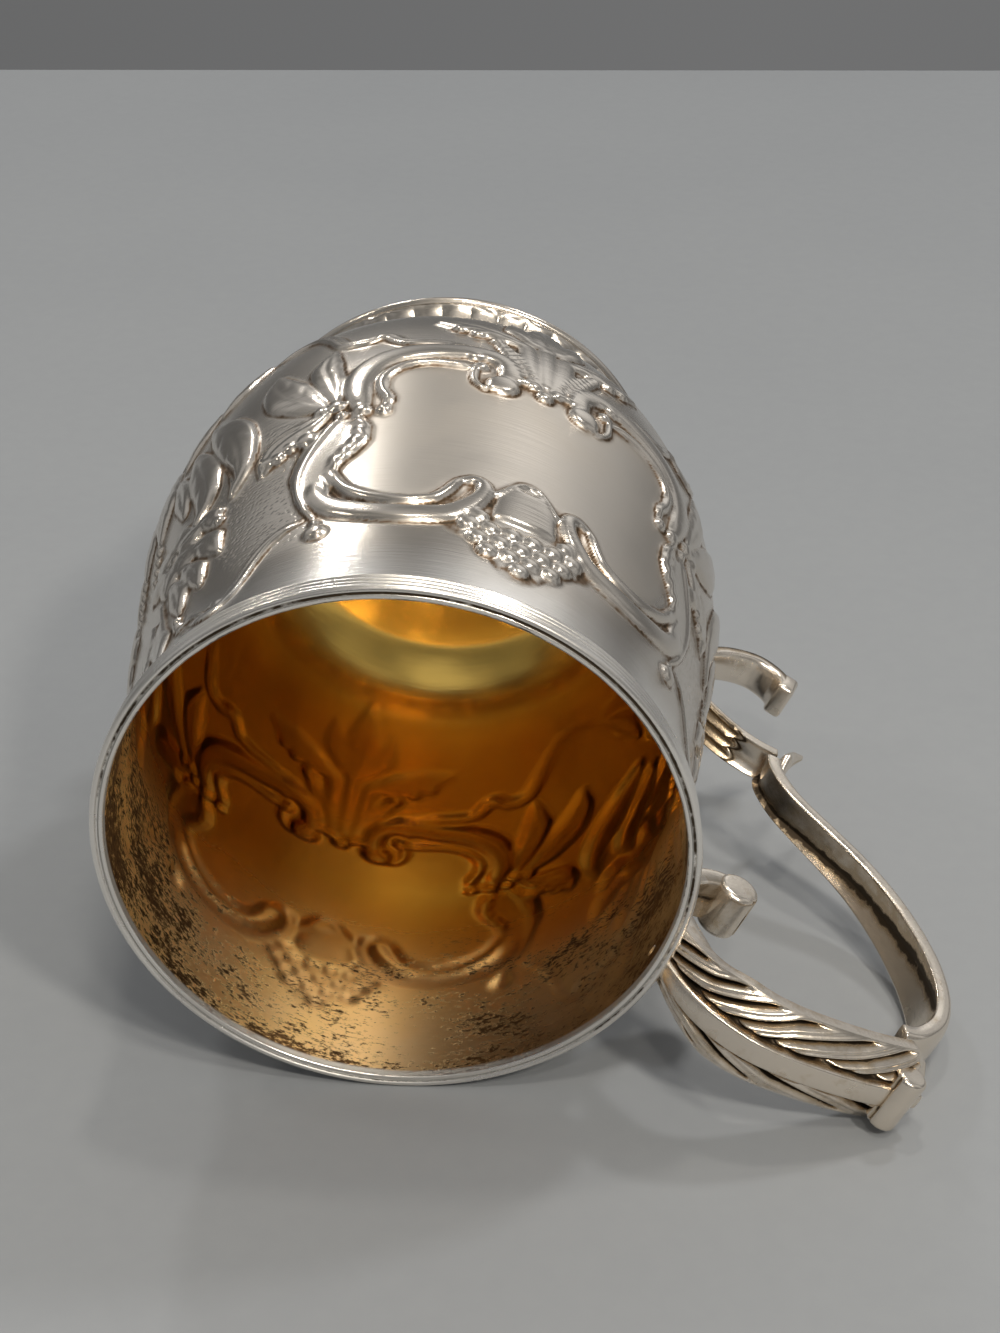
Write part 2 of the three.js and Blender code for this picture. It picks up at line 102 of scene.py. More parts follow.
def wall_line(count):
    """The wall's outline from its seat to the mouth, as (radius, height)."""
    return evenly(cubic(np.array([WALL[0], *WALL, WALL[-1]]), 60), count)


def wall_radius(z):
    line = wall_line(400)
    return float(np.interp(z, line[:, 1], line[:, 0]))


def tangents(line):
    slope = np.gradient(line, axis=0)
    return slope / np.linalg.norm(slope, axis=1)[:, None]


def normals(line):
    """Unit vectors to the right of a line."""
    slope = tangents(line)
    return np.stack([slope[:, 1], -slope[:, 0]], 1)


def mix(a, b, t):
    return a + (b - a) * t


def smooth(x):
    x = np.clip(x, 0, 1)
    return x * x * (3 - 2 * x)


def blur(chart, sigma):
    """A soft copy of a chart; sigma is in chart steps."""
    reach = int(3 * sigma + 1)
    offsets = range(-reach, reach + 1)
    weights = np.exp(-0.5 * (np.array(offsets) / sigma) ** 2)
    weights /= weights.sum()
    around = sum(w * np.roll(chart, k, 1) for k, w in zip(offsets, weights))
    padded = np.pad(around, ((reach, reach), (0, 0)), mode="edge")
    return sum(w * padded[k:k + chart.shape[0]] for k, w in enumerate(weights))


# Strokes on the chart, each given by its points, its widths along them and its height

COLUMNS = int((CHART_TO - CHART_FROM) * DEGREE)
raised = np.zeros((CHART_ROWS, COLUMNS))
sunk = np.zeros((CHART_ROWS, COLUMNS))
grid_x = (CHART_FROM + np.arange(COLUMNS) / DEGREE) * MM_PER_DEGREE
grid_y = CHART_LOW + np.arange(CHART_ROWS) * CHART_STEP


def window(x, y, reach):
    """The part of the chart within reach of the given points, with its distances across and up."""
    i0 = max(0, int((x.min() - reach - grid_x[0]) / COLUMN))
    i1 = min(COLUMNS, int((x.max() + reach - grid_x[0]) / COLUMN) + 2)
    j0 = max(0, int((y.min() - reach - CHART_LOW) / CHART_STEP))
    j1 = min(CHART_ROWS, int((y.max() + reach - CHART_LOW) / CHART_STEP) + 2)
    gx, gy = np.meshgrid(grid_x[i0:i1], grid_y[j0:j1])
    return (slice(j0, j1), slice(i0, i1)), gx[..., None] - x, gy[..., None] - y


def near(points, widths, count=150):
    """For each chart point near a line: share of the half width, side, share and length along."""
    line = spline(np.array(points, float) * [MM_PER_DEGREE, 1.0], count)
    half = np.interp(np.linspace(0, 1, count), np.linspace(0, 1, len(widths)), widths) / 2
    where, dx, dy = window(line[:, 0], line[:, 1], max(widths) / 2 + 0.6)
    q = np.hypot(dx, dy) / half
    k = np.argmin(q, axis=-1)[..., None]
    q, dx, dy = (np.take_along_axis(values, k, -1)[..., 0] for values in (q, dx, dy))
    k = k[..., 0]
    tangent = np.gradient(line, axis=0)[k]
    side = np.sign(dx * tangent[..., 1] - dy * tangent[..., 0])
    return where, q, side, k / (count - 1), k * np.hypot(*(line[1] - line[0]))


def put(where, form):
    raised[where] = np.maximum(raised[where], form)


def dome(q, power=0.5):
    return np.clip(1 - q * q, 0, None) ** power


def swell(t, ends=0.12):
    """Thins a form towards its two ends."""
    return 0.35 + 0.65 * smooth(t / ends) * smooth((1 - t) / ends)


def ridge(points, widths, high, power=0.55):
    where, q, _, t, _ = near(points, widths)
    put(where, high * dome(q, power) * swell(t))


def twin(points, widths, high):
    """A moulding of two fine lines."""
    where, q, side, t, _ = near(points, widths)
    lines = dome(np.abs(q * side - 0.5) * 2, 0.6) + dome(np.abs(q * side + 0.5) * 2, 0.6)
    put(where, high * np.where(q < 1, lines, 0) * swell(t))


def rope(points, widths, high, pitch):
    """A twisted moulding."""
    where, q, side, t, s = near(points, widths)
    twist = 0.5 + 0.5 * np.cos(2 * np.pi * (s / pitch + 0.45 * q * side))
    put(where, high * dome(q) * (0.62 + 0.38 * twist) * swell(t))


def leaf(points, widths, high, veins=5, rib=0.45, curl=0.0):
    """A pointed leaf with a sunk midrib and slanting veins; curl lifts one edge."""
    where, q, side, t, _ = near(points, widths)
    form = dome(q, 0.6) * (1 + curl * q * side)
    form *= 1 - rib * np.exp(-((q / 0.13) ** 2)) * smooth(t / 0.1)
    slant = np.abs(np.sin(np.pi * (veins * t - 1.1 * q)))
    form *= 1 - 0.2 * (1 - slant) ** 2 * smooth((q - 0.12) / 0.3)
    put(where, high * form * (0.45 + 0.55 * np.sin(np.pi * np.clip(0.12 + 0.8 * t, 0, 1))))


def scoop(points, widths, high):
    """A hollowed form with raised edges."""
    where, q, _, t, _ = near(points, widths)
    put(where, high * np.where(q < 1, (0.5 + 0.5 * q**2) * dome(q, 0.25), 0) * swell(t))


def boss(x, y, radius, high):
    where, dx, dy = window(np.array([x * MM_PER_DEGREE]), np.array([y], float), radius + 0.3)
    put(where, high * dome(np.hypot(dx, dy)[..., 0] / radius))


def groove(points, widths, deep):
    where, q, _, t, _ = near(points, widths, 100)
    sunk[where] = np.maximum(sunk[where], deep * dome(q, 1.0) * swell(t, 0.2))


# The ornament, in degrees round the cup and millimetres up it, for the left half of one side.
# The scrolls and the border line frame the reserve.

def draw_upper_scroll():
    band = [(101.3, 48), (100.2, 45), (100.6, 41.8), (103.5, 39.8), (108, 39.4), (114, 40)]
    band += [(120, 40.9), (124.5, 42.7), (127.5, 45.6), (128.7, 49.3), (128.2, 53), (127.2, 56)]
    ridge(band, [3, 3.4, 3.8, 4.2, 4.6, 4.8, 4.6, 3.8, 2.4], 1.7, 0.6)
    inner = [(106.6, 44.2), (110, 43.9), (115, 43.7), (119.5, 44.5), (122.6, 46.3), (124.2, 48.8)]
    inner += [(123.8, 51.3), (122.5, 53.4), (123, 55.8)]
    ridge(inner, [1.5, 1.7, 1.8, 1.8, 1.7, 1.5], 1.15)
    ridge([(106.4, 43.6), (107.2, 45.8), (106.6, 48), (104.6, 49.6)], [1, 1.1, 0.8], 1)
    boss(101.4, 47.6, 2.3, 2)
    boss(107.4, 40.5, 1.3, 1.75)
    boss(106, 43.6, 1.2, 1.45)
    boss(103.2, 48.7, 1, 1.5)
    boss(127.2, 56, 1.35, 1.9)
    boss(123.2, 56.2, 1.1, 1.5)


def draw_side_scroll():
    scoop([(130, 57), (132.6, 61), (134.4, 65), (135.4, 69), (134.8, 73), (132.8, 76.5)],
          [2.5, 5.6, 7.2, 6.8, 5, 2.5], 1.15)
    rope([(128.4, 57.2), (126.9, 59.5), (126.9, 62.5), (128.7, 65), (130.8, 67.2), (131.8, 69.8)],
         [1.5, 2.4, 2.6, 2.4, 1.4], 2, 2.3)
    rim = [(131.4, 56.6), (134.2, 60.2), (136.8, 64.2), (138.3, 68.5), (138.1, 72.8),
           (136.4, 76.4), (134.2, 79)]
    ridge(rim, [0.9, 1.2, 1.3, 1.2, 0.9], 1.25)


def draw_lower_scroll():
    outer = [(135.2, 70.5), (134.4, 74), (131.2, 77.2), (126, 79), (120, 79.9), (114, 80.1)]
    outer += [(108.5, 79.4), (104.8, 77.2), (102.2, 74.4), (101.8, 72), (103.6, 70.9),
              (105.6, 71.3)]
    ridge(outer, [1.6, 3, 3.8, 4, 4, 4, 3.8, 3.2, 2.6, 1.8], 1.55, 0.62)
    inner = [(131.6, 69.2), (129.3, 72.9), (125.6, 75.2), (121, 76.6), (115.5, 77), (111, 76.1)]
    inner += [(108.5, 74), (107, 72), (105.2, 71)]
    ridge(inner, [1.5, 1.9, 2.1, 2.1, 2, 1.8, 1.4], 1.1, 0.7)
    line = [(133, 70.2), (131.2, 73.2), (127.4, 76.2), (122, 78), (115.5, 78.3), (110, 77.5),
            (107, 75.6), (104.9, 73.4), (104.2, 71.9)]
    groove(line, [0.7, 0.8, 0.8, 0.9, 0.9], 0.75)
    ridge([(133.7, 80), (133.4, 81.6)], [1.6, 1.3], 1)
    boss(133.2, 82.7, 1.65, 1.7)


def draw_border_line():
    line = [(136.5, 78.9), (140, 79.9), (143.5, 81.8), (146.3, 84.8), (148.3, 88.2), (150.3, 90.8),
            (153.5, 92.2), (157, 92), (160, 90.8)]
    twin(line, [1, 1.8, 2.2, 2.2, 2, 1.6, 0.9], 0.75)
    ridge([(151.5, 90.9), (154.2, 90.3)], [0.9, 1.4], 1)
    ridge([(156, 91.2), (160, 89.6), (164, 90.4)], [0.8, 1.1, 0.6], 0.8)


def draw_shell():
    """The lobed shell under the reserve, with its bunch of scales."""
    ridge([(99.8, 73.6), (98.2, 72), (96.3, 70.3), (94.4, 69.3), (93, 69.1)], [0.9, 1, 1], 1.1)
    ridge([(93, 70.4), (93, 74.5), (93, 78.5)], [5, 8.6, 9.4], 1.15, 0.45)
    ridge([(93, 79.5), (93, 88)], [15, 6], 0.35, 0.3)
    ridge([(93, 80.8), (106, 81.6)], [6.5, 3.6], 0.35, 0.3)
    for y, first, count in ((88, 93, 1), (85.6, 95.2, 2), (83.2, 93, 3), (80.8, 95.2, 3),
                            (78.7, 102, 2)):
        for k in range(count):
            boss(first + 4.4 * k, y, 1.5, 1.6)


def draw_palmette():
    """The fluted fan over the reserve, beaded along its foot."""
    for x0, x1 in ((93, 93), (95.6, 97.4)):
        ridge([(x0, 45.4), (0.5 * (x0 + x1), 38.5), (x1, 30.5)], [2.2, 3.2, 3], 1, 0.7)
    ridge([(96.4, 43.8), (98.6, 39.6), (101.2, 36), (103.4, 33.2)], [1.6, 2.6, 2.8, 2], 0.9, 0.35)
    for k in range(9):
        x = 96.6 + 0.72 * k
        y = 43.4 - 1.2 * k
        groove([(x - 1.2, y - 0.9), (x + 1.5, y + 0.5)], [0.45, 0.45], 0.34)
        groove([(x + 1.2, y - 1.4), (x - 1, y + 1)], [0.4, 0.4], 0.25)
    for x, y, r in ((97.6, 45, 0.9), (95.4, 45.3, 1.1), (93, 47, 1.3)):
        boss(x, y, r, 1.5)


def draw_spray():
    """The leaves that spring from the side of the frame."""
    leaf([(132.6, 52.6), (134.2, 47.6), (136.2, 42.2), (135.6, 36)], [1.5, 4.4, 4.8, 1.2], 1.4)
    leaf([(134.6, 53.6), (139, 50.6), (143.4, 46.8), (146.6, 42.2), (147.6, 37.6)],
         [1.6, 5.6, 7, 5.2, 1.2], 1.35, 4, 0.3)
    leaf([(134.2, 55.4), (138, 57), (142, 58.3), (145.6, 60.4), (147.2, 64.2)],
         [1.5, 4.6, 5.6, 4.2, 1.2], 1.5, 5, 0.4, -0.2)
    groove([(139.5, 56.8), (143.5, 57.2), (146.5, 58.2)], [0.5, 0.8, 0.4], 0.5)
    for x, y, r, h in ((132.3, 54, 1.35, 2), (135.6, 54.6, 1.1, 1.7), (131.2, 56.3, 0.95, 1.5)):
        boss(x, y, r, h)
    for x, y, r, h in ((137.6, 60.4, 1.6, 2.1), (141.3, 60.8, 1.1, 1.9), (143.6, 62.2, 1.1, 1.8),
                       (146.8, 62.2, 1.1, 1.8)):
        boss(x, y, r, h)


def draw_rose(x, y, size):
    """An open rose of two rings of petals round a coiled heart."""
    def at(share, a):
        return (x + share * size * math.cos(a) / MM_PER_DEGREE, y + share * size * math.sin(a))
    for ring, petals, out, tip, broad, high in ((0, 6, 0.72, 1, 0.93, 1.7),
                                                (1, 5, 0.42, 0.62, 0.75, 2.1)):
        for k in range(petals):
            a = 2 * math.pi * (k + 0.5 * ring) / petals + 0.3
            widths = [0.5 * size, broad * size, 0.35 * size]
            leaf([at(0.25, a), at(out, a), at(tip, a)], widths, high, 1, 0.25)
    boss(x, y, 0.34 * size, 2)
    groove([at(0.3 * (1 - k / 14), 0.9 * k) for k in range(12)], [0.5, 0.6, 0.5], 0.6)


def draw_flowers():
    leaf([(163.5, 41), (159, 45.5), (155.4, 50.5), (153.3, 55.5), (152.8, 60), (154.4, 64.6)],
         [2, 5.6, 6.8, 6, 4.2, 1.2], 1.9, 5, 0.25, -0.25)
    groove([(157.8, 54.6), (155.5, 58.2), (153.8, 61.8)], [0.5, 1.1, 0.5], 0.9)
    leaf([(167.5, 45), (165, 51), (162.6, 56.5), (162.4, 61), (164.6, 64.3)],
         [2.5, 5.4, 6.4, 5, 1.6], 1.65, 4, 0.3)
    leaf([(173.5, 46), (171, 52), (169.5, 58)], [2, 5, 1.6], 1.4, 3)
    draw_rose(170.6, 68.4, 5.9)
    leaf([(163.4, 66.2), (159.8, 66.4), (157, 69.6)], [2.5, 4.2, 1.2], 1.6, 2)
    leaf([(163.5, 71.2), (159.4, 72.4), (155.8, 76.4)], [3, 5, 1.2], 1.6, 3)
    leaf([(165.5, 74.4), (162.2, 77.4), (160, 81.4)], [3, 4.6, 1.2], 1.6, 3)
    leaf([(169.5, 75.4), (167, 79.6), (165.2, 84.4)], [3, 4.4, 1.2], 1.6, 3)
    ridge([(174.5, 75), (172.5, 80), (169.5, 86)], [0.9, 1.1, 0.9], 1.1)
    leaf([(173, 82), (170.6, 87), (167.4, 94.6)], [1.6, 4.6, 1.2], 1.5, 3)
    leaf([(176.8, 79), (176.4, 84), (174, 91)], [1.6, 4.2, 1.2], 1.4, 3)
    for x, y in ((157.3, 66.8), (157, 69.2), (165, 86.8), (163.8, 88.9)):
        boss(x, y, 1, 1.5)
    leaf([(180, 37), (180, 46), (180, 55)], [3, 7.5, 1.6], 1.7, 4)
    for k in range(4):
        boss(180, 57.6 + 2.5 * k, 1.15 - 0.12 * k, 1.5)


def draw_crown():
    """The leaves and the open scroll over the reserve, down to the foot."""
    leaf([(93, 31), (93, 25), (93, 16.5)], [3, 6.6, 1.4], 1.6, 4, 0.35)
    leaf([(95.5, 29.5), (99, 25.5), (100.5, 21)], [2.4, 4.4, 1.2], 1.3, 3, 0.3)
    leaf([(97.5, 32), (104, 30.2), (110, 28.6), (115.5, 27.2)], [2.4, 4.8, 5, 1.4], 1.5, 5, 0.35)
    for x, y, r in ((103.4, 33.6, 1.15), (107.4, 31.6, 1.2), (111, 30.4, 1.1)):
        boss(x, y, r, 1.7)
    line = [(106, 37.4), (114, 36.9), (121.5, 36.4), (125.5, 33.4), (129.5, 34.6), (134, 33.8),
            (137.5, 29.2)]
    line += [(142, 24.6), (148.5, 23.2), (155, 25.4)]
    twin(line, [1, 1.8, 2.2, 2.4, 2.4, 2, 1.2], 0.9)
    boss(126.4, 33.6, 1.1, 1.3)
    leaf([(155, 25.4), (160.5, 28.6), (164.5, 34)], [1.6, 4.6, 1.2], 1.4, 3)
    leaf([(156, 23.6), (163, 23.4), (170, 26.6)], [1.6, 4.6, 1.2], 1.4, 3)
    leaf([(167, 30.5), (170.5, 36), (173.5, 42)], [1.6, 4.4, 1.2], 1.4, 3)
    leaf([(180, 22), (180, 28), (180, 35)], [2.6, 6.4, 1.4], 1.5, 3)


for draw in (draw_upper_scroll, draw_side_scroll, draw_lower_scroll, draw_border_line, draw_shell,
             draw_palmette, draw_spray, draw_flowers, draw_crown):
    draw()


def mirrored(part):
    """A chart of the whole turn from its drawn part, copied about both reserves."""
    whole = np.zeros((CHART_ROWS, TURNS))
    whole[:, int(CHART_FROM * DEGREE):int(CHART_TO * DEGREE)] = part
    index = np.arange(TURNS)
    front = int(round(RESERVE_AT * DEGREE))
    back = int(round(SECOND_RESERVE_AT * DEGREE))
    images = (index, 2 * front - index, index + front - back, front + back - index)
    return np.max([whole[:, image % TURNS] for image in images], axis=0)


forms = mirrored(raised)
relief = SOFT_LIMIT * np.tanh(forms / SOFT_LIMIT)
relief = RELIEF_SCALE * (blur(relief, 1.15) - blur(mirrored(sunk), 0.8))


# Marks of wear and finish on the same chart, and painted shade for the pressed hollows inside the
# cup

chart_turn = np.arange(TURNS) / DEGREE
from_reserve = np.minimum(*(np.abs((chart_turn - at + 180) % 360 - 180)
                            for at in (RESERVE_AT, SECOND_RESERVE_AT)))


def ground(at, up, wide, tall, power, edge, clear):
    """One on the ground in an oval beside each reserve's middle, none on its raised forms."""
    x = (from_reserve[None, :] - at) / wide
    y = (grid_y[:, None] - up) / tall
    return smooth((edge - (x**power + y**power)) * 3) * smooth(1 - relief / clear)


satin = ground(0.0, 61.0, 36.0, 17.0, 4, 1.05, 0.3)
matting = ground(52.0, 69.0, 16.0, 17.0, 2, 1.0, 0.25)
hollow = np.clip((blur(relief, 3.2) - relief) / 0.30, 0, 1) ** 1.4
covered = smooth(forms / 0.3)
outline = np.clip(3.4 * blur(covered, 1.1) * (1 - covered), 0, 1)
tarnish = np.maximum(1.25 * outline, 0.8 * hollow)
# Painted shade: the inside of the cup is darkened behind the raised forms, in its pressed hollows
pressed_shade = np.clip(blur(relief, 2.0) / 0.8, 0, 1) ** 1.3


# Meshes

def add_object(name, data):
    made = bpy.data.objects.new(name, data)
    bpy.context.scene.collection.objects.link(made)
    return made


def make_rings(name, rings, joined=False):
    """A mesh of rings of points in millimetres, its ends capped or joined to each other."""
    rings = np.asarray(rings, float)
    rows, columns = rings.shape[:2]
    at = (rings.reshape(-1, 3) + [AXIS_X, 0, 0]) * MM
    row = np.arange(rows if joined else rows - 1)[:, None] * columns
    above = (row + columns) % (rows * columns)
    here = np.arange(columns)
    after = (here + 1) % columns
    quads = np.stack([row + here, row + after, above + after, above + here], -1).reshape(-1, 4)
    caps = [] if joined else [here[::-1], here + (rows - 1) * columns]
    loops = np.concatenate([quads.ravel(), *caps])
    sizes = np.array([4] * len(quads) + [columns] * len(caps))
    mesh = bpy.data.meshes.new(name)
    mesh.vertices.add(len(at))
    mesh.vertices.foreach_set("co", at.astype(np.float32).ravel())
    mesh.loops.add(len(loops))
    mesh.loops.foreach_set("vertex_index", loops.astype(np.int32))
    mesh.polygons.add(len(sizes))
    mesh.polygons.foreach_set("loop_start", (np.cumsum(sizes) - sizes).astype(np.int32))
    mesh.update(calc_edges=True)
    mesh.validate()
    mesh.polygons.foreach_set("use_smooth", np.ones(len(mesh.polygons), bool))
    return add_object(name, mesh)


def around_axis(name, r, z, turn, joined=False):
    """A mesh of rings about the cup's axis from their radii and heights."""
    return make_rings(name, np.stack([r * np.cos(turn), r * np.sin(turn), z], -1), joined)


def add_field(made, name, values):
    """A number on each point, for the material to read."""
    values = np.asarray(values, np.float32).ravel()
    made.data.attributes.new(name, "FLOAT", "POINT").data.foreach_set("value", values)


def finish_piece(made, node, slot, *materials):
    for material in materials:
        made.data.materials.append(material)
    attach(made, "root")
    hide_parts(node)


# The cup

WALL_ROWS = 410
UNDER_ROWS = 13
NEAR_AXIS = 0.02
INSIDE_STEP = 0.5
SOFTENED = 12       # how many inside steps the bottom's corner is rounded over, each way
PRESSED_SHARE = 0.9
LIP_CLEAR = 0.12
FOOT_TURNS = 1056


def chart_at(chart, heights):
    """A chart's values at the given heights, one row each, fading out at its ends."""
    place = np.clip((heights - CHART_LOW) / CHART_STEP, 0, CHART_ROWS - 1.001)
    low = place.astype(int)
    rows = mix(chart[low], chart[low + 1], (place - low)[:, None])
    fade = smooth((heights - 11.5) / 2.0) * smooth((96.0 - heights) / 1.5)
    return rows * fade[:, None]


def inner_outline():
    """The inside of the cup from the middle of its floor to the lip, with a rounded bottom."""
    floor = SEAT_HEIGHT + SHEET
    wall = wall_line(500)
    wall = wall - SHEET * normals(wall)
    even = evenly(np.vstack([[NEAR_AXIS, floor], wall[wall[:, 1] > floor]]), step=INSIDE_STEP)
    padded = np.pad(even, ((SOFTENED, SOFTENED), (0, 0)), mode="reflect", reflect_type="odd")
    weights = np.hanning(2 * SOFTENED + 1)
    weights /= weights.sum()
    soft = np.stack([np.convolve(padded[:, k], weights, "valid") for k in range(2)], 1)
    step = np.arange(len(even))
    share = smooth((70 - step) / 30.0) * smooth(step / 20.0)
    return mix(even, soft, share[:, None])


def lifted(line, lift):
    """A line's radii and heights round the cup, moved out by the lift at each place."""
    out = normals(line)
    return [line[:, k:k + 1] + out[:, k:k + 1] * lift for k in range(2)]


def make_body():
    outer = wall_line(WALL_ROWS)
    inner = inner_outline()
    r, z = lifted(outer, chart_at(relief, outer[:, 1]))
    pressed = chart_at(np.clip(blur(relief, 1.7), 0, None), inner[:, 1]) * PRESSED_SHARE
    pressed *= 0.2 + 0.8 * smooth((inner[:, 1:] - 24.0) / 12.0)
    inner_r, inner_z = lifted(inner, pressed)
    inner_z = np.minimum(inner_z, HEIGHT - LIP_CLEAR)
    under = np.linspace(NEAR_AXIS, SEAT_RADIUS, UNDER_ROWS, endpoint=False)
    under = under[:, None] * np.ones(TURNS)
    r = np.vstack([under, r, inner_r[::-1]])
    z = np.vstack([np.full_like(under, SEAT_HEIGHT), z, inner_z[::-1]])
    body = around_axis("mug_body", r, z, np.radians(chart_turn))
    outside = UNDER_ROWS + WALL_ROWS
    for name, chart in (("tarnish", tarnish), ("satin", satin), ("matting", matting)):
        values = np.zeros_like(r)
        values[UNDER_ROWS:outside] = chart_at(chart, outer[:, 1])
        if name == "tarnish":
            # Inside the cup this field holds painted shade in the pressed hollows, not tarnish
            values[outside:] = chart_at(pressed_shade, inner[:, 1])[::-1]
        add_field(body, name, values)
    face_rows = np.concatenate([np.repeat(np.arange(len(r) - 1), TURNS), [0, len(r)]])
    gilt = (face_rows >= outside - 1).astype(np.int32)
    finish_piece(body, "body", "chased_silver", chased_silver(), gilding())
    body.data.polygons.foreach_set("material_index", gilt)


def turned(name, profile, dirt, node, slot, material, turns=720, shape=None):
    """A closed outline turned about the cup's axis, with the tarnish at each of its points."""
    turn = 2 * np.pi * np.arange(turns) / turns
    r, z = (np.repeat(values[:, None], turns, 1) for values in np.array(profile, float).T)
    if shape:
        r, z = shape(turn, r, z)
    made = around_axis(name, r, z, turn, joined=True)
    add_field(made, "tarnish", np.repeat(np.array(dirt, float), turns))
    made.data.set_sharp_from_angle(angle=math.radians(50))
    finish_piece(made, node, slot, material)


def arc(cx, cy, radius, start, end, count):
    """Points on an arc, angles in degrees from outward."""
    a = np.radians(np.linspace(start, end, count))
    return [(cx + radius * math.cos(t), cy + radius * math.sin(t)) for t in a]


def make_rim():
    """The lip, with a groove inside it, over three reeds."""
    back = wall_radius(99.0) - SHEET
    low = 96.4
    lip = 0.62
    profile = [(back + 0.12, low - 0.5), (37.0, low - 0.4)]
    dirt = [0, 0.6]
    for k in range(3):
        profile += arc(37.45, low + 0.4 + 0.82 * k, 0.42, -75, 75, 9)
        dirt += [1, 0.5, 0.1, 0, 0, 0, 0.1, 0.5, 1]
    profile += arc(RIM_RADIUS - lip, HEIGHT - lip, lip, -50, 90, 12)
    dirt += [1, 0.5, 0.1] + [0] * 9
    for r, down in ((37.27, 0.08), (37.15, 0.19), (37.0, 0.17), (36.88, 0.08), (36.76, 0.05),
                    (36.56, 0.04)):
        profile.append((r, HEIGHT - down))
    dirt += [0.6, 0.9, 0.9, 0.8, 0.5, 0.1]
    profile += arc(back + 0.3, HEIGHT - 0.32, 0.28, 90, 180, 6) + [(back + 0.02, low + 1.0)]
    dirt += [0.3, 0.5, 0.7, 0.8, 0.8, 0.8, 0.6]
    turned("rim", profile, dirt, "rim_wire", "plain_silver", rim_silver())


def foot_border(turn, r, z):
    """Moves the foot's outer face in and out: broad lobes, and small gadroons on its border."""
    outer = r > 25
    lobes = np.clip(1 - (z - 1.6) / 3.4, 0, 1) * outer * 0.4 * (np.abs(np.cos(8 * turn)) - 0.64)
    border = np.clip((z - 1.7) / 0.4, 0, 1) * np.clip((4.6 - z) / 0.8, 0, 1) * outer
    gadroons = np.abs(np.cos(22 * turn)) ** 0.7 - 0.75
    return r + lobes * (z > 1.7) + 0.55 * border * gadroons, z


def make_foot():
    neck = 25.6
    top = SEAT_HEIGHT - 0.02
    outer = spline([(neck, top), (neck + 0.3, 5.9), (28.3, 3.45), (30.2, 2.3), (31.0, 1.62)], 40)
    inner = [(29.4, 1.62), (26.7, 3.45), (24.3, 5.9), (19.6, 7.2), (19.6, top)]
    dirt = [0.8 * (1 - k / 12) for k in range(12)] + [0.1] * 28 + [0.7] * 5
    turned("foot_dome", [*outer, *inner], dirt, "foot", "chased_silver", plain_silver(), FOOT_TURNS,
           foot_border)


def make_foot_wire():
    profile = [(29.1, 0.0), (30.9, 0.0)] + arc(30.9, 0.8, 0.8, -90, 90, 16) + [(29.1, 1.6)]
    dirt = [0.6, 0.3] + [0.1] * 14 + [0.5, 0.8, 0.8]
    turned("foot_ring", profile, dirt, "foot_wire", "plain_silver", plain_silver())


# The handle's sizes, x from the cup's axis; its stations are shares of the way between two points

BAND_WIDTH = 6.2
BAND_THICKNESS = 2.9
BEND_WIDTH = 8.2
GAP = 0.3
REACH_X = 78.65
MAIN_TOP = 96.0
ARM_TIP = (72.4, 99.2)
ARM_TOP = (54.0, 103.1)
UPPER_SEAT = (wall_radius(87.0) + 2 * GAP + BAND_THICKNESS / 2, 87.0)
JOINT = (55.4, 42.1)
LOWER_THICKNESS = 2.4
LOWER_WIDTH = 5.6
LOWER_TOP = JOINT[1] - GAP - LOWER_THICKNESS / 2
LOWER_SEAT = (wall_radius(29.0) + GAP + LOWER_THICKNESS / 2, 29.0)
TAIL = (58.8, 17.0)
TAIL_END = (2.8, LOWER_WIDTH, 4.6)
LEAF_HALF = 6.5
LEAF_HIGH = 3.6
RIB_HIGH = 0.75
ROLL = ((71.35, 105.4), 2.1, 8.6, 150)  # its place, radius and width, and the seam's degrees
CURL_ROLL = ((47.5, 80.5), 2.9, 7.4, 33)
ARM_RISE = ((0.14, 0.42), (0.42, 0.82), (0.7, 0.965), (1, 1))
ARM_FALL = ((0.5, 0.26), (0.83, 0.66), (1, 1))
CURL = ((0.74, -0.6, 0.4), (0.5, -0.6, 0.6), (0.25, 0.8, 0.6))
CURL_THICKNESS = 4.4
GRIP = [(0.672, 1.004, 0.8), (0.782, 0.992, 0.9), (0.873, 0.955, 1), (0.956, 0.896, 1)]
GRIP += [(1, 0.802, 1), (0.978, 0.683, 0.9), (0.895, 0.564, 0.7), (0.769, 0.449, 0.45)]
GRIP += [(0.585, 0.336, 0.1), (0.406, 0.26, -0.1), (0.214, 0.185, -0.3), (0.114, 0.14, -0.35)]
GRIP += [(0.052, 0.098, -0.4), (0.004, 0.047, -0.4), (0, 0, -0.4)]
NECK = ((1.04, 1.02), (0.84, 1), (0.62, 0.91), (0.37, 0.71), (0.14, 0.42), (0.01, 0.12))
TAIL_LINE = ((0.02, 0.2), (0.12, 0.5), (0.28, 0.76), (0.5, 0.98), (0.74, 1.07), (0.92, 0.94))
TAIL_LINE += ((0.98, 0.74),)


def between(line, start, end, *size):
    return [(mix(start[0], end[0], x), mix(start[1], end[1], z), *size) for x, z in line]


def arm_stations():
    size = (BAND_WIDTH, BAND_THICKNESS)
    rise = between(ARM_RISE, UPPER_SEAT, ARM_TOP, *size)
    return rise + between(ARM_FALL, ARM_TOP, ARM_TIP, *size)


def upper_stations():
    curl = [(RIM_RADIUS + 13 * x, HEIGHT - 20 + z, BAND_WIDTH + x,
             mix(BAND_THICKNESS, CURL_THICKNESS, thicker)) for x, z, thicker in CURL]
    back = [(UPPER_SEAT[0], mix(UPPER_SEAT[1], ARM_TOP[1], z), BAND_WIDTH, BAND_THICKNESS)
            for z in (-0.14, 0.12)]
    return curl + back + arm_stations()


def grip_stations():
    return [(mix(JOINT[0], REACH_X, x), mix(JOINT[1], MAIN_TOP, z),
             mix(BAND_WIDTH, BEND_WIDTH, broad), BAND_THICKNESS) for x, z, broad in GRIP]


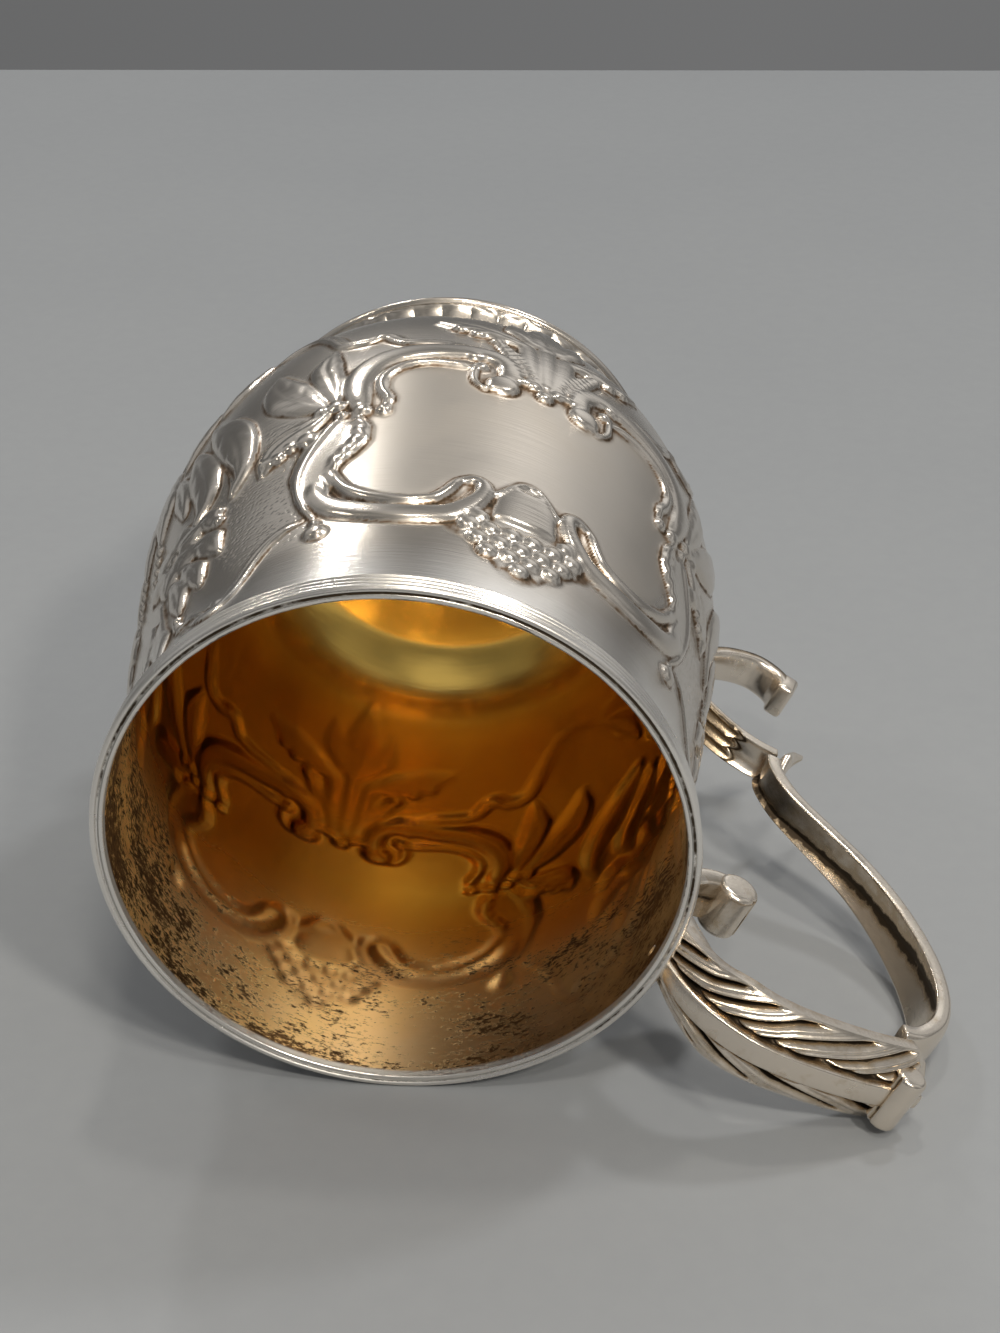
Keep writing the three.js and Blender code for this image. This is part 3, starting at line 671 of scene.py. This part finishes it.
def lower_stations():
    size = (LOWER_WIDTH, LOWER_THICKNESS)
    neck = between(NECK, LOWER_SEAT, (JOINT[0], LOWER_TOP), *size)
    return neck + between(TAIL_LINE, LOWER_SEAT, TAIL, *size)


def bud_stations():
    x = JOINT[0] + BAND_THICKNESS / 2 + GAP
    z = JOINT[1]
    return [(x, z + 1.05, 2.25, 1.44), (x + 0.83, z - 2.25, 5.0, 2.4),
            (x + 2.2, z - 4.9, 3.5, 1.92), (x + 4.6, z - 7.5, 0.75, 0.72)]


def centripetal(stations, steps):
    """Points evenly in parameter on a centripetal curve, with the tangent at each."""
    p = np.array([s[:2] for s in stations])
    sizes = np.array([s[2:] for s in stations])
    p = np.vstack([2 * p[0] - p[1], p, 2 * p[-1] - p[-2]])
    spans = len(stations) - 1
    out = []
    for i in range(steps + 1):
        u = i / steps * spans
        k = min(int(u), spans - 1)
        t = u - k
        a, b, c, d = p[k:k + 4]
        d0, d1, d2 = (max(np.linalg.norm(y - x) ** 0.5, 1e-4) for x, y in ((a, b), (b, c), (c, d)))
        m1 = ((b - a) / d0 - (c - a) / (d0 + d1) + (c - b) / d1) * d1
        m2 = ((c - b) / d1 - (d - b) / (d1 + d2) + (d - c) / d2) * d1
        rest = (3 * (c - b) - 2 * m1 - m2) * t**2 + (2 * (b - c) + m1 + m2) * t**3
        out.append((*(b + m1 * t + rest), *mix(sizes[k], sizes[k + 1], t)))
    out = np.array(out)
    return out, tangents(out[:, :2])


# A band's section, as points across and through it, with the tarnish and the warmth at each; on the
# lower scroll the tarnish also carries painted shade

BACK = np.linspace(0, math.pi, 29)
FACE = np.linspace(-1, 1, 61)


def bell(x, wide):
    return np.exp(-((x / wide) ** 2))


def section(dip, dirt, warm):
    """A rounded back, and an inner face dipped as given."""
    across = np.sign(np.cos(BACK)) * np.abs(np.cos(BACK)) ** 0.8
    through = 0.15 + 0.85 * np.sin(BACK) ** 0.75
    back = np.stack([across, through, np.zeros_like(BACK), np.full_like(BACK, 0.15)], 1)
    corner = 0.25 * np.maximum(0.0, (np.abs(FACE) - 0.9) / 0.1) ** 2
    low = -1 + corner + dip * (1 - np.abs(FACE) ** 10)
    return np.vstack([back, np.stack([FACE * 0.985, low, dirt, warm], 1)])


def arm_section(t):
    x = np.abs(FACE)
    dirt = np.clip(1 - x / 0.3, 0, 1) * 0.6 + 0.5 * (t < 0.16)
    return section(0.3 * (1 - x), dirt, np.full_like(x, 0.3))


def grip_section(t):
    """The grip's hollow: one wall brown, one pale; its tarnished floor crosses from one side."""
    floor = min(0.55, max(-0.8, 0.6 - 2.6 * (t - 0.25)))
    dip = np.minimum((1 - FACE) / (1 - floor), (1 + FACE) / (1 + floor))
    rim = smooth((1 - np.abs(FACE)) / 0.13)
    stain = bell(FACE - floor, 0.34) * (1.05 + 0.1 * smooth(t / 0.2))
    near_wall = rim * smooth((FACE - floor) / 0.15)
    dirt = np.clip(stain + 0.16 * near_wall, 0, 1.2)
    return section(0.7 * dip**0.9, dirt, 0.15 + 0.85 * near_wall)


def lower_section(t):
    """Three hollow flutes with round ends, then a plain hollow neck towards the joint."""
    wave = np.abs(np.sin(np.pi * (FACE + 1) * 1.5))
    end = 0.155 + 0.03 * (1 - wave)
    fluted = smooth((t - end) / 0.012)
    neck = 0.75 * (1 - FACE**2) + 0.25
    dirt = fluted * ((1 - wave) ** 2 * 0.6 + 0.42)
    # Painted shadow: a dark band just before each flute's round end, and painted shade at the joint
    # end
    dirt += 1.2 * bell(t - end + 0.012, 0.014) + bell(t, 0.02)
    return section(mix(neck, 0.6 * wave**1.2, fluted), np.clip(dirt, 0, 1.3), 0.1 + 0.9 * fluted)


def bud_section(_):
    """A rounded leaf with a sharp groove along it, the same all the way."""
    a = np.linspace(0, 2 * math.pi, 40, endpoint=False)
    rib = 0.22 * bell(np.cos(a), 0.16) * (np.sin(a) > 0)
    return np.stack([np.cos(a), np.sin(a) * 0.9 - rib, rib * 3, np.full_like(a, 0.4)], 1)


def finish_handle(made, node, dirt, warm):
    add_field(made, "tarnish", dirt)
    add_field(made, "warmth", warm)
    work = bmesh.new()
    work.from_mesh(made.data)
    bmesh.ops.recalc_face_normals(work, faces=work.faces)
    work.to_mesh(made.data)
    work.free()
    made.data.set_sharp_from_angle(angle=math.radians(42))
    finish_piece(made, node, "cast_silver", handle_silver())


def sweep_band(name, node, stations, steps, profile, first_round, last_round):
    """A band along a curve in the handle's plane, its ends rounded over the given millimetres."""
    line, along = centripetal(stations, steps)
    far = lengths(line[:, :2])
    rings = []
    fields = []
    for k, (x, z, width, thick) in enumerate(line):
        rows = profile(k / steps)
        shrink = 1.0
        for left, round_by in ((far[k], first_round), (far[-1] - far[k], last_round)):
            shrink *= max(0.35, math.sqrt(1 - (1 - min(1.0, left / round_by)) ** 2))
        across = rows[:, 0] * width / 2 * shrink
        through = rows[:, 1] * thick / 2 * shrink
        rings.append(np.stack([x - along[k, 1] * through, across, z + along[k, 0] * through], 1))
        fields.append(rows[:, 2:])
    dirt, warm = np.vstack(fields).T
    finish_handle(make_rings(name, rings), node, dirt, warm)


def make_roll(name, node, at, radius, width, seam):
    """A rolled end: a short bar across the handle with rounded ends and a seam along it."""
    half = width / 2
    edge = 0.3 * radius
    end = [(0.04, half), *arc(radius - edge, half - edge, edge, 90, 0, 10)]
    r, y = np.array(end + [(r, -y) for r, y in end[::-1]]).T[..., None]
    turn = np.linspace(0, 2 * math.pi, 96, endpoint=False)
    from_seam = (np.degrees(turn) - seam + 180) % 360 - 180
    cut = 1 - 0.12 * bell(from_seam, 6)
    x = at[0] + r * cut * np.cos(turn)
    z = at[1] + r * cut * np.sin(turn)
    flank = np.abs(y) < half - 0.6 * edge
    dirt = np.where(flank, bell(from_seam, 9), 0.05)
    warm = np.where(flank, bell(from_seam - 75, 35), 0.1)
    rings = np.stack([x, y * np.ones_like(x), z], -1)
    finish_handle(make_rings(name, rings), node, dirt, warm)


def make_leaf_cap():
    """The leaf over the arm: a plain broad midrib between long slanting leaflets."""
    steps, columns = 300, 150
    line, along = centripetal(arm_stations(), steps)
    under = BAND_THICKNESS / 2 + 0.02
    t = np.linspace(0, 1, steps + 1)[:, None]
    v = np.linspace(-1, 1, columns + 1)[None, :]
    a = np.abs(v)
    half = mix(mix(0.66, 1.0, smooth(t / 0.3)) * LEAF_HALF, ROLL[2] / 2, smooth((t - 0.86) / 0.14))
    leaflet = np.where(v > 0, 7.0 * t - 3.2 * a**0.9 + 0.2, 4.0 * t - 2.0 * a**0.9)
    wave = np.abs(np.sin(np.pi * leaflet))
    plain = smooth((0.93 - t) / 0.05) * smooth((0.98 - a) / 0.1)
    cut = smooth((a - 0.27) / 0.06) * plain
    veins = 0.10 * np.cos(2 * np.pi * 3.0 * leaflet) * cut
    rib = RIB_HIGH * smooth((0.29 - a) / 0.05)
    ditch = 0.6 * bell(a - 0.30, 0.04) * smooth((0.97 - t) / 0.05)
    dip = (1 - wave) ** 2.6 * 1.3 * cut
    droop = 1.1 * np.maximum(0, a - 0.55)
    crown = under + LEAF_HIGH * (1 - 0.5 * v * v) + rib - ditch - dip
    top = crown + (0.3 * wave**0.5 - 0.2) * cut + veins - droop
    low = np.minimum(under - droop, top - 0.35)
    y = v * half * (1 - 0.06 * (1 - wave) ** 2 * smooth((a - 0.7) / 0.3) * plain)

    def surface(height, across):
        x = line[:, 0:1] - along[:, 1:] * height
        return np.stack([x, across, line[:, 1:2] + along[:, :1] * height], -1)
    rings = np.concatenate([surface(top, y), surface(low, y * 0.97)[:, ::-1]], 1)
    dirt = np.clip((1 - wave) ** 2.2 * cut * 1.8 + ditch * 2.2, 0, 1.2)
    warm = 0.55 * cut + 0.35 * rib / RIB_HIGH
    dirt, warm = (np.concatenate([values, np.full_like(low, below)], 1)
                  for values, below in ((dirt, 0.3), (warm, 0.6)))
    finish_handle(make_rings("handle_leaf_cap", rings), "handle_leaf", dirt, warm)


def make_tail_end():
    """The squared end of the lower scroll, with rounded edges."""
    work = bmesh.new()
    bmesh.ops.create_cube(work, size=1.0)
    for v in work.verts:
        v.co = Vector(a * b for a, b in zip(v.co, TAIL_END))
    bmesh.ops.bevel(work, geom=work.edges[:], offset=0.7, segments=4, profile=0.5, affect="EDGES")
    turn = Matrix.Rotation(-0.3, 4, "Y")
    for v in work.verts:
        v.co = (turn @ v.co + Vector((TAIL[0] + AXIS_X, 0, TAIL[1] + TAIL_END[2] / 2))) * MM
    mesh = bpy.data.meshes.new("handle_tail_end")
    work.to_mesh(mesh)
    work.free()
    for polygon in mesh.polygons:
        polygon.use_smooth = True
    made = add_object("handle_tail_end", mesh)
    for name in ("tarnish", "warmth"):
        add_field(made, name, np.zeros(len(mesh.vertices)))
    finish_piece(made, "handle_lower_scroll", "cast_silver", handle_silver())


def make_handle():
    sweep_band("handle_arm", "handle_upper_scroll", upper_stations(), 360, arm_section, 1.6, 0.5)
    make_roll("handle_curl_roll", "handle_upper_scroll", *CURL_ROLL)
    sweep_band("handle_grip", "handle_main_scroll", grip_stations(), 360, grip_section, 0.5, 0.4)
    sweep_band("handle_foot_scroll", "handle_lower_scroll", lower_stations(), 420, lower_section,
               0.4, 0.4)
    make_tail_end()
    make_leaf_cap()
    make_roll("handle_leaf_roll", "handle_leaf", *ROLL)
    sweep_band("handle_bud_leaf", "handle_bud", bud_stations(), 80, bud_section, 0.5, 0.5)


# Materials

SILVER = (0.71, 0.65, 0.575)
# Painted light: a lighter silver that brightens the wall towards the rim and the rim wire
PAINTED_LIGHT_SILVER = (0.95, 0.91, 0.85)
WARM_SILVER = (0.86, 0.77, 0.655)
TARNISH = (0.075, 0.056, 0.038)
HAZE = (0.50, 0.43, 0.34)
BROWNED = (0.56, 0.43, 0.28)
OUTLINE = (0.20, 0.135, 0.085)
GOLD = (0.96, 0.66, 0.24)
DEEP_GOLD = (0.84, 0.49, 0.14)
CORNER_GOLD = (1.0, 0.66, 0.15)
# Painted shade for the pressed hollows inside the cup
SHADED_HOLLOW_GOLD = (0.40, 0.18, 0.05)
# Painted highlight on the inside wall near the mouth
PAINTED_HIGHLIGHT_GOLD = (0.88, 0.69, 0.42)
SHADED_GOLD = (0.17, 0.085, 0.03)
STAIN = (0.22, 0.12, 0.05)
DARK_STAIN = (0.06, 0.036, 0.018)
LIP_GREY = (0.62, 0.60, 0.56)
FLOOR_DARK = (0.300, 0.315, 0.335)
FLOOR_LIGHT = (0.345, 0.360, 0.376)
FINE_RELIEF = 0.00006
WORN_RELIEF = 0.00007


class Look:
    """The nodes of a new material or of the world, made by short calls."""

    def __init__(self, owner):
        owner.use_nodes = True
        self.owner = owner
        self.tree = owner.node_tree
        self.shader = self.tree.nodes.get("Principled BSDF")

    def put(self, socket, value):
        """Sets a socket to a value, or links it to an output."""
        if isinstance(value, bpy.types.NodeSocket):
            self.tree.links.new(value, socket)
        else:
            socket.default_value = (*value, 1.0) if socket.type == "RGBA" else value

    def node(self, kind, inputs, **settings):
        made = self.tree.nodes.new("ShaderNode" + kind)
        for name, value in settings.items():
            setattr(made, name, value)
        for name, value in inputs.items():
            self.put(made.inputs[name], value)
        return made

    def math(self, kind, a, b):
        return self.node("Math", {0: a, 1: b}, operation=kind).outputs[0]

    def add(self, first, *others):
        for other in others:
            first = self.math("ADD", first, other)
        return first

    def times(self, first, *others):
        for other in others:
            first = self.math("MULTIPLY", first, other)
        return first

    def swing(self, noise, by):
        """A noise about nought, multiplied."""
        return self.times(self.math("SUBTRACT", noise, 0.5), by)

    def span(self, value, low, high, to_low=0.0, to_high=1.0):
        """A value's place between two others, held at both ends."""
        inputs = {"Value": value, "From Min": low, "From Max": high}
        inputs.update({"To Min": to_low, "To Max": to_high})
        return self.node("MapRange", inputs).outputs["Result"]

    def mix(self, share, a, b):
        return self.node("Mix", {0: share, 6: a, 7: b}, data_type="RGBA").outputs[2]

    def place(self, stretch=(1, 1, 1)):
        """Object coordinates in metres, stretched."""
        at = self.node("TexCoord", {}).outputs["Object"]
        return self.node("Mapping", {"Vector": at, "Scale": stretch}).outputs["Vector"]

    def part(self, vector, axis):
        return self.node("SeparateXYZ", {0: vector}).outputs[axis]

    def noise(self, vector, scale, detail=4.0, rough=0.55):
        inputs = {"Vector": vector, "Scale": scale, "Detail": detail, "Roughness": rough}
        return self.node("TexNoise", inputs).outputs["Fac"]

    def field(self, name):
        return self.node("Attribute", {}, attribute_name=name).outputs["Fac"]

    def give(self, name, value):
        self.put(self.shader.inputs[name], value)

    def metal(self, colour, rough, height, distance, strength=1.0):
        """Finishes a metal with its colour, roughness and fine relief."""
        self.give("Base Color", colour)
        self.give("Metallic", 1.0)
        self.give("Roughness", rough)
        inputs = {"Height": height, "Distance": distance, "Strength": strength}
        self.give("Normal", self.node("Bump", inputs).outputs["Normal"])
        return self.owner


def new_look(name):
    return Look(bpy.data.materials.new(name))


@cache
def chased_silver():
    """Hand-polished silver: satin reserves, punched ground and tarnish in the hollows."""
    look = new_look("chased_silver_look")
    spot = look.place()
    cloud = look.noise(spot, 70.0, 3.0)
    fine = look.noise(spot, 900.0, 3.0, 0.6)
    breaks = look.noise(spot, 190.0, 3.0, 0.6)
    dirt = look.times(look.field("tarnish"), look.span(fine, 0.25, 0.75, 0.55, 1.25),
                      look.span(breaks, 0.35, 0.62, 0.35, 1.15))
    # Painted light: the wall is made lighter towards the rim
    clean = look.mix(look.span(look.part(spot, "Z"), 0.086, 0.095), SILVER, PAINTED_LIGHT_SILVER)
    clean = look.mix(look.span(cloud, 0.42, 0.72, 0.0, 0.22), clean, HAZE)
    colour = look.mix(look.span(dirt, 0.10, 0.72), clean, OUTLINE)
    colour = look.mix(look.span(dirt, 0.80, 1.15), colour, TARNISH)
    rough = look.add(look.times(look.field("satin"), 0.16), look.span(cloud, 0.3, 0.7, 0.19, 0.27),
                     look.times(dirt, 0.30))
    brushed = look.noise(look.place((110, 110, 2800)), 1.0, 2.0)
    pits = look.node("TexVoronoi", {"Vector": spot, "Scale": 1500.0}).outputs["Distance"]
    punched = look.times(look.span(pits, 0.1, 0.5), look.field("matting"))
    height = look.add(look.times(brushed, 0.4), look.times(punched, 0.6))
    return look.metal(colour, rough, height, FINE_RELIEF)


@cache
def gilding():
    """Worn gilding: bright below, stained brown and mottled towards the mouth; painted shade
    darkens the pressed hollows and one side near the mouth, and a painted highlight makes the wall
    near the mouth paler.
    """
    look = new_look("gilding_look")
    spot = look.place()
    out = look.part(spot, "X")
    up = look.part(spot, "Z")
    near_mouth = look.span(up, 0.072, 0.096)
    specks = look.noise(look.place((1, 1, 2.2)), 900.0, 5.0, 0.74)
    clusters = look.noise(look.place((1, 1, 1.7)), 85.0, 4.0, 0.6)
    broad = look.noise(spot, 45.0, 4.0, 0.6)
    worn = look.add(specks, look.times(near_mouth, 0.12), look.swing(clusters, 0.75),
                    look.span(out, -0.050, -0.028, 0.10, 0.0))
    stains = look.times(look.span(worn, 0.60, 0.70), look.span(up, 0.066, 0.078))
    # Painted highlight: the wall near the mouth is made paler, less so on the left side
    pale = look.times(near_mouth, look.span(broad, 0.35, 0.65, 0.35, 0.9),
                      look.span(out, -0.054, -0.034, 0.1, 1.0))
    shaded = look.times(look.span(up, 0.078, 0.097), look.span(out, -0.008, 0.012, 0.0, 0.95),
                        look.span(clusters, 0.3, 0.6, 0.55, 1.0))
    colour = look.mix(look.span(broad, 0.3, 0.7), GOLD, DEEP_GOLD)
    colour = look.mix(look.span(up, 0.012, 0.022, 0.9, 0.0), colour, CORNER_GOLD)
    # Painted shade: inside the cup the tarnish field holds the pressed hollows, darkened here
    colour = look.mix(look.times(look.field("tarnish"), 0.55), colour, SHADED_HOLLOW_GOLD)
    colour = look.mix(pale, colour, PAINTED_HIGHLIGHT_GOLD)
    colour = look.mix(stains, colour, look.mix(look.span(specks, 0.45, 0.65), STAIN, DARK_STAIN))
    colour = look.mix(shaded, colour, SHADED_GOLD)
    colour = look.mix(look.span(up, 0.0986, 0.0990), colour, LIP_GREY)
    rough = look.add(look.span(up, 0.058, 0.086, 0.13, 0.46), look.times(stains, 0.2),
                     look.span(broad, 0.3, 0.7, 0.0, 0.06))
    scratched = look.noise(look.place((160, 160, 2500)), 1.0, 2.0)
    height = look.math("SUBTRACT", look.times(scratched, 0.3), look.times(stains, 0.5))
    round_axis = look.node("Tangent", {}, direction_type="RADIAL", axis="Z")
    look.give("Tangent", round_axis.outputs[0])
    look.give("Anisotropic", 0.88)
    look.give("Anisotropic Rotation", 0.25)
    return look.metal(colour, rough, height, FINE_RELIEF)


def silver_with_dirt(name, clean, spots, lowest, roughness, one_side=False):
    """Polished silver with tarnish where the form holds it, in broken patches."""
    look = new_look(name)
    spot = look.place()
    broken = look.noise(spot, spots, 6.0, 0.7)
    cloud = look.noise(spot, 60.0, 2.0)
    dirt = look.add(look.field("tarnish"), look.swing(broken, 1.4), look.swing(cloud, 1.2))
    if one_side:
        dirt = look.add(dirt, look.span(look.part(spot, "Y"), -0.012, 0.026, -0.34, 0.12))
    dirt = look.span(dirt, lowest, lowest + 0.25)
    colour = look.mix(look.span(cloud, 0.4, 0.75, 0.0, 0.25), clean, HAZE)
    rough = look.add(look.span(cloud, 0.3, 0.7, roughness, roughness + 0.08), look.times(dirt, 0.3))
    worn = look.noise(spot, 420.0)
    return look.metal(look.mix(dirt, colour, TARNISH), rough, worn, WORN_RELIEF, 0.7)


@cache
def rim_silver():
    # The rim wire takes the lighter silver, painted light
    return silver_with_dirt("rim_look", PAINTED_LIGHT_SILVER, 400.0, 0.60, 0.24, one_side=True)


@cache
def plain_silver():
    return silver_with_dirt("plain_look", SILVER, 260.0, 0.66, 0.18)


@cache
def handle_silver():
    """Cast silver: browned where the form holds polish, black where it holds most, and dark where
    the lower scroll's painted shade lies.
    """
    look = new_look("handle_look")
    spot = look.place()
    broken = look.noise(spot, 420.0, 6.0, 0.7)
    blots = look.noise(spot, 150.0, 3.0, 0.6)
    dirt = look.add(look.field("tarnish"), look.swing(broken, 1.5), look.swing(blots, 0.9))
    black = look.span(dirt, 0.70, 0.98)
    brown = look.span(look.add(dirt, look.times(look.field("warmth"), 0.42)), 0.22, 0.75, 0.0, 0.9)
    colour = look.mix(black, look.mix(brown, WARM_SILVER, BROWNED), TARNISH)
    rough = look.add(look.span(blots, 0.3, 0.7, 0.18, 0.30), look.times(black, 0.3))
    return look.metal(colour, rough, broken, WORN_RELIEF, 0.7)


# The floor that the mug lies on, as the camera sees it; the mug itself stays upright in its frame

FLOOR_DOWN = Vector((0.4478, -0.8917, 0.0642)).normalized()
FLOOR_AT = 44.4  # from the cup's axis at its foot, along FLOOR_DOWN
CAMERA_AT = (-0.07396, 0.1688, 0.3386)
CAMERA_RIGHT = Vector((0.8935, 0.4455, -0.056))
CAMERA_DOWN = Vector((0.4058, -0.7478, 0.525))
LENS = 64.8
SENSOR = 36.0
FLOOR_NEAR = 0.35
FLOOR_FAR = 0.487
FLOOR_SIDE = 0.8
WHITE_LIGHT = (1.0, 0.985, 0.96)
WARM_LIGHT = (1.0, 0.93, 0.82)
# Each lamp's way across, away and up from the mug's spot in metres, its size, watts and colour
LAMPS = {
    "key": (0.60, 0.45, 1.15, 0.14, 2.8, WHITE_LIGHT),
    "back": (-0.35, 0.95, 0.80, 0.12, 1.6, WHITE_LIGHT),
    "left": (-0.75, 0.10, 0.95, 0.10, 0.7, WARM_LIGHT),
    "front": (0.15, -0.55, 1.10, 0.14, 2.5, WARM_LIGHT),
    "top": (0.05, 0.22, 1.30, 0.10, 1.8, WARM_LIGHT),
    "low": (0.46, 0.95, 0.54, 0.50, 0.16, WHITE_LIGHT),
    "spark": (0.07, -0.45, 0.49, 0.05, 0.45, WARM_LIGHT),
    "mouth": (0.40, -0.73, 0.75, 0.10, 3.8, WARM_LIGHT),
}
# The room's brightness from below to above
ROOM = [(0.0, 0.16), (0.49, 0.16), (0.53, 0.18), (0.62, 0.30), (0.72, 0.38), (0.79, 0.27)]
ROOM += [(1.0, 0.27)]


def camera_axes():
    right = CAMERA_RIGHT.normalized()
    forward = right.cross(CAMERA_DOWN).normalized()
    return right, forward.cross(right), forward


def floor_axes():
    """Across, away from the camera, and up, for the floor."""
    up = -FLOOR_DOWN
    forward = camera_axes()[2]
    away = (forward - up * forward.dot(up)).normalized()
    return away.cross(up).normalized(), away, up


def floor_point(across, away, up):
    """A point given from the spot on the floor under the mug, in metres."""
    a, b, c = floor_axes()
    middle = Vector((AXIS_X * MM, 0, 0.05))
    origin = Vector((AXIS_X * MM, 0, 0))
    foot = middle + FLOOR_DOWN * (FLOOR_AT * MM - (middle - origin).dot(FLOOR_DOWN))
    return foot + a * across + b * away + c * up


def make_floor():
    """A pale sheet that is clear from below, so that it hides nothing in a view from there."""
    x, near_y, far_y = FLOOR_SIDE, -FLOOR_NEAR, FLOOR_FAR
    corners = [(-x, near_y), (x, near_y), (x, far_y), (-x, far_y)]
    mesh = bpy.data.meshes.new("floor")
    mesh.from_pydata([floor_point(*corner, 0) for corner in corners], [], [(0, 1, 2, 3)])
    mesh.update()
    made = add_object("floor", mesh)
    if mesh.polygons[0].normal.dot(-FLOOR_DOWN) < 0:
        mesh.flip_normals()
    look = new_look("floor_look")
    mottled = look.noise(look.place(), 300.0, 5.0)
    broad = look.noise(look.place(), 12.0, 2.0)
    share = look.add(look.times(mottled, 0.5), look.times(broad, 0.5))
    look.give("Base Color", look.mix(share, FLOOR_DARK, FLOOR_LIGHT))
    look.give("Roughness", 0.6)
    look.give("Specular IOR Level", 0.25)
    below = look.node("NewGeometry", {}).outputs["Backfacing"]
    clear = look.node("BsdfTransparent", {}).outputs[0]
    choose = look.node("MixShader", {0: below, 1: look.shader.outputs[0], 2: clear})
    look.put(look.tree.nodes["Material Output"].inputs["Surface"], choose.outputs[0])
    mesh.materials.append(look.owner)


def make_lights():
    for name, (across, away, up, size, power, colour) in LAMPS.items():
        lamp = bpy.data.lights.new(name, "AREA")
        lamp.shape = "DISK"
        lamp.size = size
        lamp.energy = power
        lamp.color = colour
        made = add_object(name, lamp)
        made.location = floor_point(across, away, up)
        aim = floor_point(0, 0, 0.03) - made.location
        made.rotation_mode = "QUATERNION"
        made.rotation_quaternion = aim.to_track_quat("-Z", "Y")


def make_world():
    """A room that is darker low down, with broad soft pale bands."""
    world = bpy.data.worlds.new("room")
    bpy.context.scene.world = world
    look = Look(world)
    seen = look.node("TexCoord", {}).outputs["Generated"]
    across, _, up = floor_axes()

    def along(axis):
        return look.node("VectorMath", {0: seen, 1: axis}, operation="DOT_PRODUCT").outputs["Value"]
    height = along(up)
    ramp = look.node("ValToRGB", {0: look.span(height, -1, 1)})
    stops = ramp.color_ramp.elements
    while len(stops) < len(ROOM):
        stops.new(0.5)
    for stop, (position, level) in zip(stops, ROOM):
        stop.position = position
        stop.color = (level, level * 1.005, level * 1.01, 1)
    patches = look.span(look.noise(seen, 2.6, 1.5, 0.5), 0.40, 0.62, -0.4, 0.7)
    bright = look.add(look.times(patches, look.span(height, 0.0, 0.12)), 1.0)
    bright = look.times(bright, look.span(along(across), -0.8, 0.1, 0.6, 1.0))
    background = look.tree.nodes["Background"]
    look.put(background.inputs["Color"], ramp.outputs[0])
    look.put(background.inputs["Strength"], bright)


def make_camera():
    right, down, forward = camera_axes()
    camera = bpy.data.cameras.new("camera")
    camera.lens = LENS
    camera.sensor_width = SENSOR
    camera.clip_start = 0.01
    made = add_object("camera", camera)
    turn = Matrix((right, -down, -forward)).transposed().to_4x4()
    made.matrix_world = Matrix.Translation(CAMERA_AT) @ turn
    bpy.context.scene.camera = made


make_body()
make_rim()
make_foot()
make_foot_wire()
make_handle()
make_floor()
make_lights()
make_world()
make_camera()
bpy.context.scene.view_settings.view_transform = "Standard"

bpy.context.view_layer.update()
